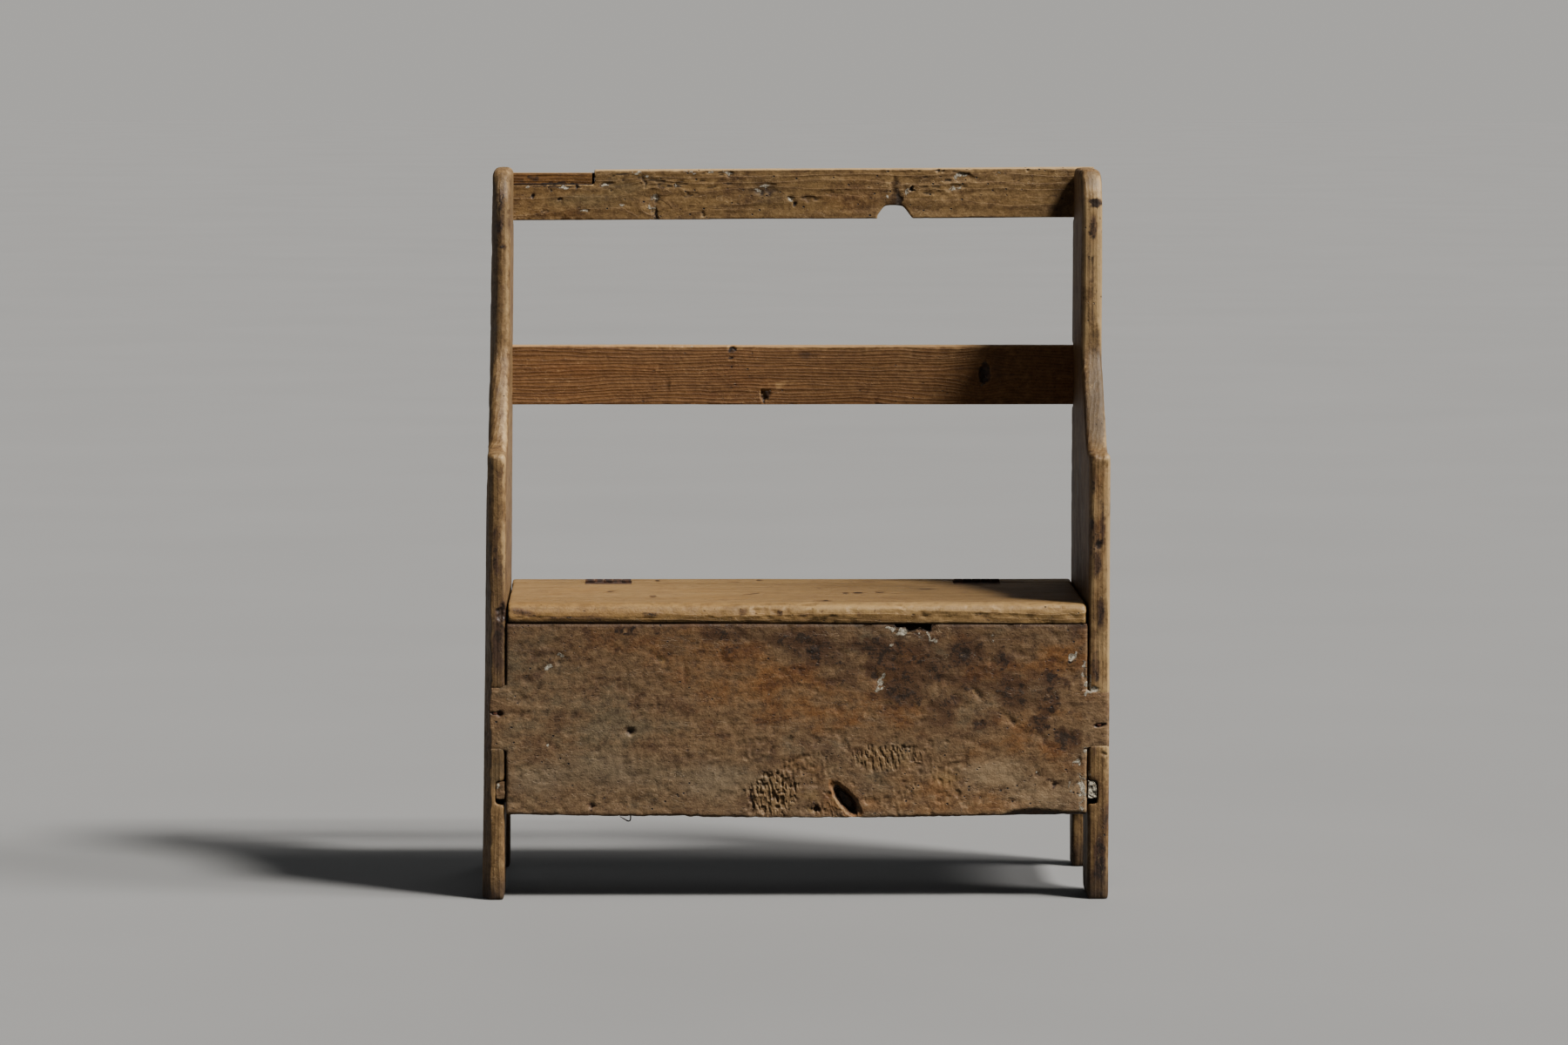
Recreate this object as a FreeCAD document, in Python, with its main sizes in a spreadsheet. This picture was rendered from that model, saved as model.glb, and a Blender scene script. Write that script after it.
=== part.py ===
"""Rustic box-seat bench of nailed planks: a hinged lid over a chest, and two rails behind it.

Millimetres. X runs to the sitter's left as the bench is seen from the front, Y runs to the back and Z up.
The origin is on the floor, under the middle of the bench.
"""

import FreeCAD, Part
import math
import os
from types import SimpleNamespace

import Sketcher

SIZES = {
    # Whole bench
    "bench_width": 865.0,
    "bench_depth": 380.0,
    "bench_height": 1000.0,
    "seat_height": 410.0,
    # Side boards: the left one stands with its foot splayed, the right one is plumb
    "left_foot_thick": 32.0,
    "left_outer_lean": 15.0,
    "left_inner_lean": 7.0,
    "right_thick": 30.0,
    "arm_height": 617.0,
    "arm_flat_depth": 69.0,
    "sweep_rise": 124.0,
    "upper_set_back": 185.0,
    "sweep_foot_radius": 60.0,
    "sweep_top_radius": 48.0,
    "crown_radius": 50.0,
    "arm_corner_wear": 2.0,
    "side_edge_radius": 6.0,
    "front_foot_depth": 98.0,
    "rear_foot_depth": 50.0,
    "foot_gap_height": 118.0,
    "foot_gap_radius": 45.0,
    # Back rails
    "rail_thick": 22.0,
    "rail_edge_radius": 3.0,
    "top_rail_height": 72.0,
    "top_rail_left_drop": 5.0,
    "middle_rail_bottom": 661.0,
    "middle_rail_height": 85.0,
    # Worn notch in the underside of the top rail
    "notch_place": 149.0,
    "notch_mouth": 48.0,
    "notch_crown": 22.0,
    "notch_rise": 17.5,
    "notch_crown_radius": 7.0,
    # Repair let into the top rail's upper left edge
    "patch_length": 135.0,
    "patch_height": 16.0,
    "patch_drop": 4.0,
    "patch_end_gap": 3.0,
    # Front board of the box, with a tab at each end
    "front_board_thick": 25.0,
    "front_board_bottom": 117.0,
    "front_board_sag": 4.0,
    "front_board_edge_radius": 3.0,
    "left_tab_bottom": 210.0,
    "left_tab_height": 84.0,
    "right_tab_bottom": 213.0,
    "right_tab_height": 73.0,
    "knot_place": 69.0,
    "knot_above_edge": 19.0,
    "knot_half_length": 27.0,
    "knot_half_width": 7.0,
    "knot_depth": 14.0,
    "knot_tilt": 38.0,
    # Back and floor of the box
    "back_board_thick": 22.0,
    "back_board_bottom": 110.0,
    "floor_board_thick": 25.0,
    "floor_slot_bottom": 132.0,
    "floor_slot_height": 33.0,
    "floor_slot_depth": 13.0,
    "filler_height": 25.0,
    "filler_depth": 22.0,
    "filler_set_back": 1.5,
    # Seat
    "lid_thick": 28.0,
    "lid_end_gap": 2.5,
    "lid_top_radius": 10.0,
    "lid_under_radius": 5.0,
    "lid_rest_gap": 0.5,
    "strip_depth": 55.0,
    "seam_gap": 1.5,
    # Hinges
    "hinge_inset": 103.0,
    "hinge_length": 65.0,
    "leaf_width": 28.0,
    "leaf_thick": 1.8,
    "knuckle_radius": 3.2,
    "knuckle_gap": 0.3,
    "hinge_pin_radius": 1.6,
    "pin_running_gap": 0.05,
    "pin_seat_gap": 0.01,
    "screw_radius": 1.7,
    "screw_head_radius": 3.6,
    "screw_head_height": 1.6,
    "screw_tip_radius": 0.5,
    "screw_length": 20.0,
    "screw_slot_width": 0.8,
    "screw_slot_depth": 0.7,
    # Nails
    "nail_length": 52.0,
    "nail_radius": 1.7,
    "nail_tip_radius": 0.6,
    "nail_head_radius": 4.0,
    "nail_neck_radius": 2.0,
    "nail_head_height": 1.5,
    "brad_length": 30.0,
    "brad_radius": 1.0,
    "bent_nail_place": 227.0,
    "bent_nail_embedded": 15.0,
    "bent_nail_drop": 6.0,
    "bent_nail_bend": 3.0,
    "bent_nail_turn": 120.0,
    "bent_nail_tip_length": 12.0,
    # Fits
    "joint_gap": 0.2,
    "butt_gap": 0.8,
    "drill_gap": 0.05,
    "overrun": 10.0,
}

# Knuckles of one hinge, alternately on the strip's leaf and the lid's
KNUCKLE_COUNT = 5
# Places along the leaf and across it, as shares of its length and width
SCREW_ALONG_SHARES = (0.17, 0.5, 0.83)
SCREW_ACROSS_SHARES = (0.68, 0.42, 0.68)
# Places of the nails, as shares of the board that they hold
LEFT_TAB_NAIL_SHARE = 0.58
RIGHT_TAB_NAIL_SHARE = 0.41
TOP_RAIL_NAIL_SHARES = (0.2, 0.6)
MIDDLE_RAIL_NAIL_SHARES = (0.25, 0.75)
BACK_NAIL_SHARES = (0.3, 0.6, 0.88)
FLOOR_NAIL_SHARES = (0.25, 0.75)
STRIP_NAIL_SHARES = (0.02, 0.1, 0.26, 0.43, 0.7, 0.94)
BRAD_SHARES = (0.35, 0.62, 0.88)
# Where the front board's lower edge hangs lowest, as shares of the bench's width
SAG_SHARES = (0.47, 0.61)


class Length:
    """A size from the sheet, or sums of sizes, kept both as a number and as the sheet's expression."""

    def __init__(self, value, text):
        self.value = value
        self.text = text

    @staticmethod
    def of(thing):
        return thing if isinstance(thing, Length) else Length(float(thing), repr(float(thing)))

    def joined(self, other, value, sign):
        return Length(value, f"({self.text} {sign} {other.text})")

    def __add__(self, other):
        other = Length.of(other)
        return self.joined(other, self.value + other.value, "+")

    def __sub__(self, other):
        other = Length.of(other)
        return self.joined(other, self.value - other.value, "-")

    def __mul__(self, other):
        other = Length.of(other)
        return self.joined(other, self.value * other.value, "*")

    def __truediv__(self, other):
        other = Length.of(other)
        return self.joined(other, self.value / other.value, "/")

    def __radd__(self, other):
        return Length.of(other) + self

    def __rsub__(self, other):
        return Length.of(other) - self

    def __rmul__(self, other):
        return Length.of(other) * self

    def __neg__(self):
        return Length.of(0) - self


def fill_sheet(doc):
    """The spreadsheet of driving sizes, and the same sizes as Lengths."""
    sheet = doc.addObject("Spreadsheet::Sheet", "Sizes")
    for row, (name, value) in enumerate(SIZES.items(), start=1):
        sheet.set(f"A{row}", name)
        sheet.set(f"B{row}", str(value))
        sheet.setAlias(f"B{row}", name)
    doc.recompute()
    return SimpleNamespace(**{name: Length(value, "Sizes." + name) for name, value in SIZES.items()})


doc = FreeCAD.newDocument("bench")
d = fill_sheet(doc)

RIGHT = FreeCAD.Vector(1, 0, 0)
LEFT = FreeCAD.Vector(-1, 0, 0)
BACK = FreeCAD.Vector(0, 1, 0)
FRONT = FreeCAD.Vector(0, -1, 0)
UP = FreeCAD.Vector(0, 0, 1)
DOWN = FreeCAD.Vector(0, 0, -1)
# Two points closer than this are the same point
TOUCH = 1e-4
NODES = []

# Planes and levels that several pieces share
front_y = -d.bench_depth / 2
back_y = d.bench_depth / 2
lid_under_z = d.seat_height - d.lid_thick
box_top_z = lid_under_z - d.lid_rest_gap
rail_y = back_y - d.rail_thick
seam_y = back_y - d.strip_depth
front_board_back_y = front_y + d.front_board_thick
back_board_y = back_y - d.back_board_thick
top_rail_bottom_z = d.bench_height - d.top_rail_height
right_outer_x = d.bench_width / 2
right_inner_x = right_outer_x - d.right_thick


def left_outer_x(height):
    """The left board's outer face at a height above the floor."""
    return d.left_outer_lean * height / d.bench_height - d.bench_width / 2


def left_inner_x(height):
    """The left board's inner face at a height above the floor."""
    return d.left_foot_thick - d.bench_width / 2 + d.left_inner_lean * height / d.bench_height


def left_middle_x(height):
    """The middle of the left board's thickness at a height above the floor."""
    return (left_outer_x(height) + left_inner_x(height)) / 2


right_middle_x = (right_outer_x + right_inner_x) / 2


def bind(thing, **properties):
    """Ties properties to the sheet. A double underscore stands for the dot in a name."""
    for name, length in properties.items():
        thing.setExpression(name.replace("__", "."), Length.of(length).text)
    return thing


def put(thing, x, y, z):
    """Ties the thing's place to the sheet."""
    return bind(thing, Placement__Base__x=x, Placement__Base__y=y, Placement__Base__z=z)


def turned(direction):
    """The rotation that takes +Z to a direction."""
    return FreeCAD.Rotation(UP, direction)


def node(thing, label):
    """Names a finished sub-part, whose label names its file."""
    thing.Label = label
    NODES.append(thing)
    return thing


# Part primitives


def box(name, size, at):
    thing = doc.addObject("Part::Box", name)
    bind(thing, Length=size[0], Width=size[1], Height=size[2])
    return put(thing, *at)


def cone(name, base_radius, end_radius, length, at, direction):
    """A cone or a cylinder from a point along a direction."""
    thing = doc.addObject("Part::Cone", name)
    thing.Placement.Rotation = turned(direction)
    bind(thing, Radius1=base_radius, Radius2=end_radius, Height=length)
    return put(thing, *at)


def cylinder(name, radius, length, at, direction):
    thing = doc.addObject("Part::Cylinder", name)
    thing.Placement.Rotation = turned(direction)
    bind(thing, Radius=radius, Height=length)
    return put(thing, *at)


def fused(name, parts):
    thing = doc.addObject("Part::MultiFuse", name)
    thing.Shapes = parts
    return thing


def cut(name, base, tools):
    """The base with the tools taken away."""
    thing = doc.addObject("Part::Cut", name)
    thing.Base = base
    thing.Tool = tools[0] if len(tools) == 1 else fused(name + "_tools", tools)
    return thing


# Sketched bodies


def origin_plane(body, role):
    return next(f for f in body.Origin.OriginFeatures if f.Role == role)


def outline(body, name, role, points):
    """A sketch of one closed outline, each corner tied to the body's origin by the sheet."""
    sketch = body.newObject("Sketcher::SketchObject", name)
    sketch.AttachmentSupport = (origin_plane(body, role), "")
    sketch.MapMode = "FlatFace"
    corners = [FreeCAD.Vector(Length.of(u).value, Length.of(v).value, 0) for u, v in points]
    count = len(points)
    for i in range(count):
        sketch.addGeometry(Part.LineSegment(corners[i], corners[(i + 1) % count]), False)
    for i in range(count):
        sketch.addConstraint(Sketcher.Constraint("Coincident", i, 2, (i + 1) % count, 1))
    for i, (u, v) in enumerate(points):
        for kind, axis, length in (("DistanceX", -2, Length.of(u)), ("DistanceY", -1, Length.of(v))):
            if length.text == "0.0":
                sketch.addConstraint(Sketcher.Constraint("PointOnObject", i, 1, axis))
                continue
            index = sketch.addConstraint(Sketcher.Constraint(kind, -1, 1, i, 1, length.value))
            sketch.setExpression(f"Constraints[{index}]", length.text)
    return sketch


def sketched_board(name, role, points, thickness, away=False):
    """A body padded from an outline. away pads against the sketch plane's own normal."""
    body = doc.addObject("PartDesign::Body", name)
    sketch = outline(body, name + "_outline", role, points)
    pad = body.newObject("PartDesign::Pad", name + "_pad")
    pad.Profile = sketch
    pad.Reversed = away
    bind(pad, Length=thickness)
    doc.recompute()
    return body


def rounded(body, name, radius, wanted):
    """Fillets the edges of the body's tip that a test picks out."""
    tip = body.Tip
    names = [f"Edge{i}" for i, edge in enumerate(tip.Shape.Edges, start=1) if wanted(edge)]
    if not names:
        raise RuntimeError(f"{name} found no edge to round")
    fillet = body.newObject("PartDesign::Fillet", name)
    fillet.Base = (tip, names)
    bind(fillet, Radius=radius)
    doc.recompute()
    return fillet


def runs_across(edge, y, z):
    """Whether an edge runs along X through a place in the body's own Y and Z."""
    y, z = Length.of(y).value, Length.of(z).value
    return all(math.hypot(v.Y - y, v.Z - z) < TOUCH for v in edge.Vertexes)


def middle_of(edge):
    return edge.valueAt((edge.FirstParameter + edge.LastParameter) / 2)


# Side boards


def side_blank(name, thickness, left_faces):
    """A side board before its joints are cut, with its front bottom corner on the body's own origin."""
    depth, height = d.bench_depth, d.bench_height
    sweep_top = d.arm_height + d.sweep_rise
    gap_back = depth - d.rear_foot_depth
    points = [
        (0, 0),
        (0, d.arm_height),
        (d.arm_flat_depth, d.arm_height),
        (d.upper_set_back, sweep_top),
        (d.upper_set_back, height),
        (depth, height),
        (depth, 0),
        (gap_back, 0),
        (gap_back, d.foot_gap_height),
        (d.front_foot_depth, d.foot_gap_height),
        (d.front_foot_depth, 0),
    ]
    body = sketched_board(name, "YZ_Plane", points, thickness)
    for wedge_name, wedge in left_faces:
        pocket = body.newObject("PartDesign::Pocket", f"{name}_{wedge_name}")
        pocket.Profile = outline(body, f"{name}_{wedge_name}_outline", "XZ_Plane", wedge)
        bind(pocket, Length=depth)
        doc.recompute()
    rounded(
        body,
        name + "_arm_corner",
        d.side_edge_radius + d.arm_corner_wear,
        lambda e: runs_across(e, 0, d.arm_height),
    )
    rounded(
        body,
        name + "_sweep_foot",
        d.sweep_foot_radius,
        lambda e: runs_across(e, d.arm_flat_depth, d.arm_height),
    )
    rounded(
        body,
        name + "_sweep_top",
        d.sweep_top_radius,
        lambda e: runs_across(e, d.upper_set_back, sweep_top),
    )
    rounded(body, name + "_crown", d.crown_radius, lambda e: runs_across(e, d.upper_set_back, height))
    for place, y in (("front", d.front_foot_depth), ("rear", gap_back)):
        rounded(
            body,
            f"{name}_{place}_foot_gap",
            d.foot_gap_radius,
            lambda e, y=y: runs_across(e, y, d.foot_gap_height),
        )

    def worn(edge):
        """The arrises up the front, over the arm and the crown, and along the top."""
        middle = middle_of(edge)
        ends = edge.Vertexes
        across = all(math.hypot(v.Y - ends[0].Y, v.Z - ends[0].Z) < TOUCH for v in ends)
        at_back = middle.y > depth.value - TOUCH
        at_feet = middle.y > d.front_foot_depth.value - TOUCH and middle.z < d.foot_gap_height.value + TOUCH
        return not (across or at_back or at_feet or middle.z < TOUCH)

    rounded(body, name + "_worn_edges", d.side_edge_radius, worn)
    return body


def side_joints(name, start_x, reach, slot_x, tab_bottom, tab_height, top_rail_end_z):
    """The cuts in one side board: notches that reach across it from start_x, and the floor's slot."""
    rail_notch_y = rail_y - d.joint_gap
    rail_notch_depth = d.rail_thick + d.joint_gap + d.overrun
    rail_notch_z = d.middle_rail_bottom - d.joint_gap
    top_notch_z = top_rail_end_z - d.joint_gap
    return [
        box(
            name + "_tab_notch",
            (reach, d.front_board_thick + d.joint_gap + d.overrun, tab_height + 2 * d.joint_gap),
            (start_x, front_y - d.overrun, tab_bottom - d.joint_gap),
        ),
        box(
            name + "_middle_rail_notch",
            (reach, rail_notch_depth, d.middle_rail_height + 2 * d.joint_gap),
            (start_x, rail_notch_y, rail_notch_z),
        ),
        box(
            name + "_top_rail_notch",
            (reach, rail_notch_depth, d.bench_height - top_notch_z + d.overrun),
            (start_x, rail_notch_y, top_notch_z),
        ),
        box(
            name + "_floor_slot",
            (d.floor_slot_depth + d.overrun, d.bench_depth + 2 * d.overrun, d.floor_slot_height),
            (slot_x, front_y - d.overrun, d.floor_slot_bottom),
        ),
    ]


# Nails: the same cones make a nail and, a little wider, its hole


def nail_parts(name, at, direction, grow):
    head_radii = d.nail_head_radius + grow, d.nail_neck_radius + grow
    shank_radii = d.nail_radius + grow, d.nail_tip_radius + grow
    return [
        cone(name + "_head", *head_radii, d.nail_head_height, at, direction),
        cone(name + "_shank", *shank_radii, d.nail_length + grow, at, direction),
    ]


def brad_parts(name, at, direction, grow):
    return [cone(name, d.brad_radius + grow, d.nail_tip_radius + grow, d.brad_length + grow, at, direction)]


def nails(label, places, parts=nail_parts):
    """One node of like nails, and their holes. A place is a point on the surface and a direction."""
    metal = []
    holes = []
    for i, (at, direction) in enumerate(places, start=1):
        metal += parts(f"{label}_{i}", at, direction, Length.of(0))
        holes += parts(f"{label}_hole_{i}", at, direction, d.drill_gap)
    node(fused(label, metal), label)
    return fused(label + "_holes", holes)


def both_sides(heights, y):
    """Places of nails driven in from both outer faces at some heights."""
    left = [((left_outer_x(z), y, z), RIGHT) for z in heights]
    right = [((right_outer_x, y, z), LEFT) for z in heights]
    return left + right


def behind_rail(bottom, height, shares, left_drop):
    """Places of nails driven in from the back through a rail's two ends."""
    places = []
    for share in shares:
        z = bottom + height * share
        places.append(((left_middle_x(z - left_drop), back_y, z - left_drop), FRONT))
        places.append(((right_middle_x, back_y, z), FRONT))
    return places


left_tab_z = d.left_tab_bottom + d.left_tab_height * LEFT_TAB_NAIL_SHARE
right_tab_z = d.right_tab_bottom + d.right_tab_height * RIGHT_TAB_NAIL_SHARE
back_board_height = lid_under_z - d.joint_gap - d.back_board_bottom
floor_mid_z = d.floor_slot_bottom + d.floor_board_thick / 2
floor_y = front_board_back_y + d.joint_gap
floor_depth = back_board_y - d.joint_gap - floor_y
back_board_mid_y = back_y - d.back_board_thick / 2
strip_left_x = left_inner_x(d.seat_height) + d.butt_gap
strip_length = right_inner_x - d.butt_gap - strip_left_x
lid_left_x = left_inner_x(d.seat_height) + d.lid_end_gap
lid_right_x = right_inner_x - d.lid_end_gap
patch_left_x = left_outer_x(d.bench_height)
patch_top_z = d.bench_height - d.top_rail_left_drop - d.patch_drop

front_board_holes = nails(
    "front_board_nails",
    [
        ((left_middle_x(left_tab_z), front_y, left_tab_z), BACK),
        ((right_middle_x, front_y, right_tab_z), BACK),
    ],
)
top_rail_holes = nails(
    "top_rail_nails",
    behind_rail(top_rail_bottom_z, d.top_rail_height, TOP_RAIL_NAIL_SHARES, d.top_rail_left_drop),
)
middle_rail_holes = nails(
    "middle_rail_nails",
    behind_rail(d.middle_rail_bottom, d.middle_rail_height, MIDDLE_RAIL_NAIL_SHARES, Length.of(0)),
)
back_board_holes = nails(
    "back_board_nails",
    both_sides([d.back_board_bottom + back_board_height * s for s in BACK_NAIL_SHARES], back_board_mid_y),
)
floor_board_holes = nails(
    "floor_board_nails",
    [place for s in FLOOR_NAIL_SHARES for place in both_sides([floor_mid_z], floor_y + floor_depth * s)],
)
seat_strip_holes = nails(
    "seat_strip_nails",
    [((strip_left_x + strip_length * s, back_board_mid_y, d.seat_height), DOWN) for s in STRIP_NAIL_SHARES],
)
rail_middle_y = back_y - d.rail_thick / 2
patch_holes = nails(
    "patch_brads",
    [((patch_left_x + d.patch_length * s, rail_middle_y, patch_top_z), DOWN) for s in BRAD_SHARES],
    brad_parts,
)

left_wedges = [
    (
        "outer_lean",
        [
            (0, 0),
            (d.left_outer_lean, d.bench_height),
            (d.left_outer_lean, d.bench_height + d.overrun),
            (-d.overrun, d.bench_height + d.overrun),
            (-d.overrun, 0),
        ],
    ),
    (
        "inner_lean",
        [
            (d.left_foot_thick, 0),
            (d.left_foot_thick + d.left_inner_lean, d.bench_height),
            (d.left_foot_thick + d.left_inner_lean + d.overrun, d.bench_height),
            (d.left_foot_thick + d.left_inner_lean + d.overrun, 0),
        ],
    ),
]
left_blank = side_blank("left_side_blank", d.left_foot_thick + d.left_inner_lean, left_wedges)
put(left_blank, -d.bench_width / 2, front_y, 0)
right_blank = side_blank("right_side_blank", d.right_thick, [])
put(right_blank, right_inner_x, front_y, 0)

side_holes = [top_rail_holes, middle_rail_holes, back_board_holes, floor_board_holes, front_board_holes]
left_joints = side_joints(
    "left",
    -d.bench_width / 2 - d.overrun,
    d.left_foot_thick + d.left_inner_lean + 2 * d.overrun,
    left_inner_x(d.floor_slot_bottom) - d.floor_slot_depth,
    d.left_tab_bottom,
    d.left_tab_height,
    top_rail_bottom_z - d.top_rail_left_drop,
)
right_joints = side_joints(
    "right",
    right_inner_x - d.overrun,
    d.right_thick + 2 * d.overrun,
    right_inner_x - d.overrun,
    d.right_tab_bottom,
    d.right_tab_height,
    top_rail_bottom_z - d.top_rail_left_drop * d.right_thick / d.bench_width,
)
node(cut("left_side", left_blank, left_joints + side_holes), "left_side")
node(cut("right_side", right_blank, right_joints + side_holes), "right_side")


# Back rails


def front_arris(z_low, z_high):
    """A test for the edges along a board's front face whose middle lies between two heights."""
    return lambda e: (
        all(abs(v.Y) < TOUCH for v in e.Vertexes)
        and z_low.value - TOUCH < middle_of(e).z < z_high.value + TOUCH
        and abs(e.Vertexes[0].X - e.Vertexes[-1].X) > TOUCH
    )


def top_rail():
    """The top rail, lower at its left end, with the worn notch and the rebate for the repair."""
    bottom, top = top_rail_bottom_z, d.bench_height
    left_bottom, left_top = bottom - d.top_rail_left_drop, top - d.top_rail_left_drop

    def at_place(level, x):
        """A height on the rail's sloping edge."""
        return level - d.top_rail_left_drop * (right_outer_x - x) / d.bench_width

    mouth = [d.notch_place - d.notch_mouth / 2, d.notch_place + d.notch_mouth / 2]
    crown = [d.notch_place - d.notch_crown / 2, d.notch_place + d.notch_crown / 2]
    points = [
        (left_outer_x(left_bottom), left_bottom),
        (mouth[0], at_place(bottom, mouth[0])),
        (crown[0], at_place(bottom, crown[0]) + d.notch_rise),
        (crown[1], at_place(bottom, crown[1]) + d.notch_rise),
        (mouth[1], at_place(bottom, mouth[1])),
        (right_outer_x, bottom),
        (right_outer_x, top),
        (left_outer_x(left_top), left_top),
    ]
    body = sketched_board("top_rail_blank", "XZ_Plane", points, d.rail_thick, away=True)

    def crown_corner(edge):
        """An edge through the rail's thickness at one end of the notch's crown."""
        return any(
            all(math.hypot(v.X - x.value, v.Z - z.value) < TOUCH for v in edge.Vertexes)
            for x, z in points[2:4]
        )

    rounded(body, "top_rail_notch_crown", d.notch_crown_radius, crown_corner)
    rounded(body, "top_rail_top_edge", d.rail_edge_radius, front_arris(left_top, top))
    put(body, 0, rail_y, 0)
    rebate_bottom = patch_top_z - d.patch_height - d.joint_gap
    rebate = box(
        "patch_rebate",
        (
            d.patch_length + d.patch_end_gap + d.overrun,
            d.rail_thick + 2 * d.overrun,
            d.bench_height - rebate_bottom + d.overrun,
        ),
        (patch_left_x - d.overrun, rail_y - d.overrun, rebate_bottom),
    )
    return node(cut("top_rail", body, [rebate, top_rail_holes, patch_holes]), "top_rail")


def top_rail_patch():
    blank = box(
        "patch_blank",
        (d.patch_length, d.rail_thick, d.patch_height),
        (patch_left_x, rail_y, patch_top_z - d.patch_height),
    )
    return node(cut("top_rail_patch", blank, [patch_holes]), "top_rail_patch")


def middle_rail():
    bottom, top = d.middle_rail_bottom, d.middle_rail_bottom + d.middle_rail_height
    points = [
        (left_outer_x(bottom), bottom),
        (right_outer_x, bottom),
        (right_outer_x, top),
        (left_outer_x(top), top),
    ]
    body = sketched_board("middle_rail_blank", "XZ_Plane", points, d.rail_thick, away=True)
    rounded(body, "middle_rail_top_edge", d.rail_edge_radius, front_arris(top, top))
    put(body, 0, rail_y, 0)
    return node(cut("middle_rail", body, [middle_rail_holes]), "middle_rail")


top_rail()
top_rail_patch()
middle_rail()


# Box of the seat


def front_board():
    """The board that closes the front, held by a tab let into the front edge of each side board."""
    low, high = d.front_board_bottom, box_top_z
    left_low, left_high = d.left_tab_bottom, d.left_tab_bottom + d.left_tab_height
    right_low, right_high = d.right_tab_bottom, d.right_tab_bottom + d.right_tab_height
    right_x = right_inner_x - d.butt_gap
    sag_z = low - d.front_board_sag
    points = [
        (left_inner_x(low) + d.butt_gap, low),
        *((d.bench_width * share - d.bench_width / 2, sag_z) for share in SAG_SHARES),
        (right_x, low),
        (right_x, right_low),
        (right_outer_x, right_low),
        (right_outer_x, right_high),
        (right_x, right_high),
        (right_x, high),
        (left_inner_x(high) + d.butt_gap, high),
        (left_inner_x(left_high) + d.butt_gap, left_high),
        (left_outer_x(left_high), left_high),
        (left_outer_x(left_low), left_low),
        (left_inner_x(left_low) + d.butt_gap, left_low),
    ]
    body = sketched_board("front_board_blank", "XZ_Plane", points, d.front_board_thick, away=True)
    top_edge = front_arris(high, high)
    low_edge = front_arris(sag_z, low)
    rounded(body, "front_board_edges", d.front_board_edge_radius, lambda e: top_edge(e) or low_edge(e))

    def tab_end(edge):
        """The upright front arris at the end of a tab."""
        middle = middle_of(edge)
        outside = middle.x > right_x.value + TOUCH or middle.x < left_inner_x(low).value
        upright = abs(edge.Vertexes[0].Z - edge.Vertexes[-1].Z) > d.side_edge_radius.value
        return outside and upright and all(abs(v.Y) < TOUCH for v in edge.Vertexes)

    rounded(body, "front_board_tab_ends", d.side_edge_radius, tab_end)
    put(body, 0, front_y, 0)
    knot = doc.addObject("Part::Ellipsoid", "knot_hole")
    knot.Placement.Rotation = FreeCAD.Rotation(FRONT, SIZES["knot_tilt"])
    bind(knot, Radius1=d.knot_half_length, Radius2=d.knot_half_width, Radius3=d.knot_depth)
    bind(knot, Placement__Rotation__Angle=d.knot_tilt)
    put(knot, d.knot_place, front_y, low + d.knot_above_edge)
    return node(cut("front_board", body, [knot, front_board_holes, bent_nail_hole]), "front_board")


def back_board():
    low, high = d.back_board_bottom, d.back_board_bottom + back_board_height
    right_x = right_inner_x - d.butt_gap
    points = [
        (left_inner_x(low) + d.butt_gap, low),
        (right_x, low),
        (right_x, high),
        (left_inner_x(high) + d.butt_gap, high),
    ]
    body = sketched_board("back_board_blank", "XZ_Plane", points, d.back_board_thick, away=True)
    put(body, 0, back_board_y, 0)
    return node(cut("back_board", body, [back_board_holes, seat_strip_holes]), "back_board")


def floor_board():
    """The floor of the box, its ends in the slots of the side boards."""
    left_x = left_inner_x(d.floor_slot_bottom) - d.floor_slot_depth + d.joint_gap
    right_x = right_inner_x + d.floor_slot_depth - d.joint_gap
    blank = box(
        "floor_board_blank",
        (right_x - left_x, floor_depth, d.floor_board_thick),
        (left_x, floor_y, d.floor_slot_bottom),
    )
    return node(cut("floor_board", blank, [floor_board_holes]), "floor_board")


def slot_fillers():
    """The slips that close the front ends of the floor's slots, flush with the slot's top."""
    size = (d.floor_slot_depth - 2 * d.joint_gap, d.filler_depth, d.filler_height)
    y = front_y + d.filler_set_back
    z = d.floor_slot_bottom + d.floor_slot_height - d.joint_gap - d.filler_height
    left_x = left_inner_x(d.floor_slot_bottom) - d.floor_slot_depth + d.joint_gap
    node(box("left_slot_filler", size, (left_x, y, z)), "left_slot_filler")
    node(box("right_slot_filler", size, (right_inner_x + d.joint_gap, y, z)), "right_slot_filler")


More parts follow.
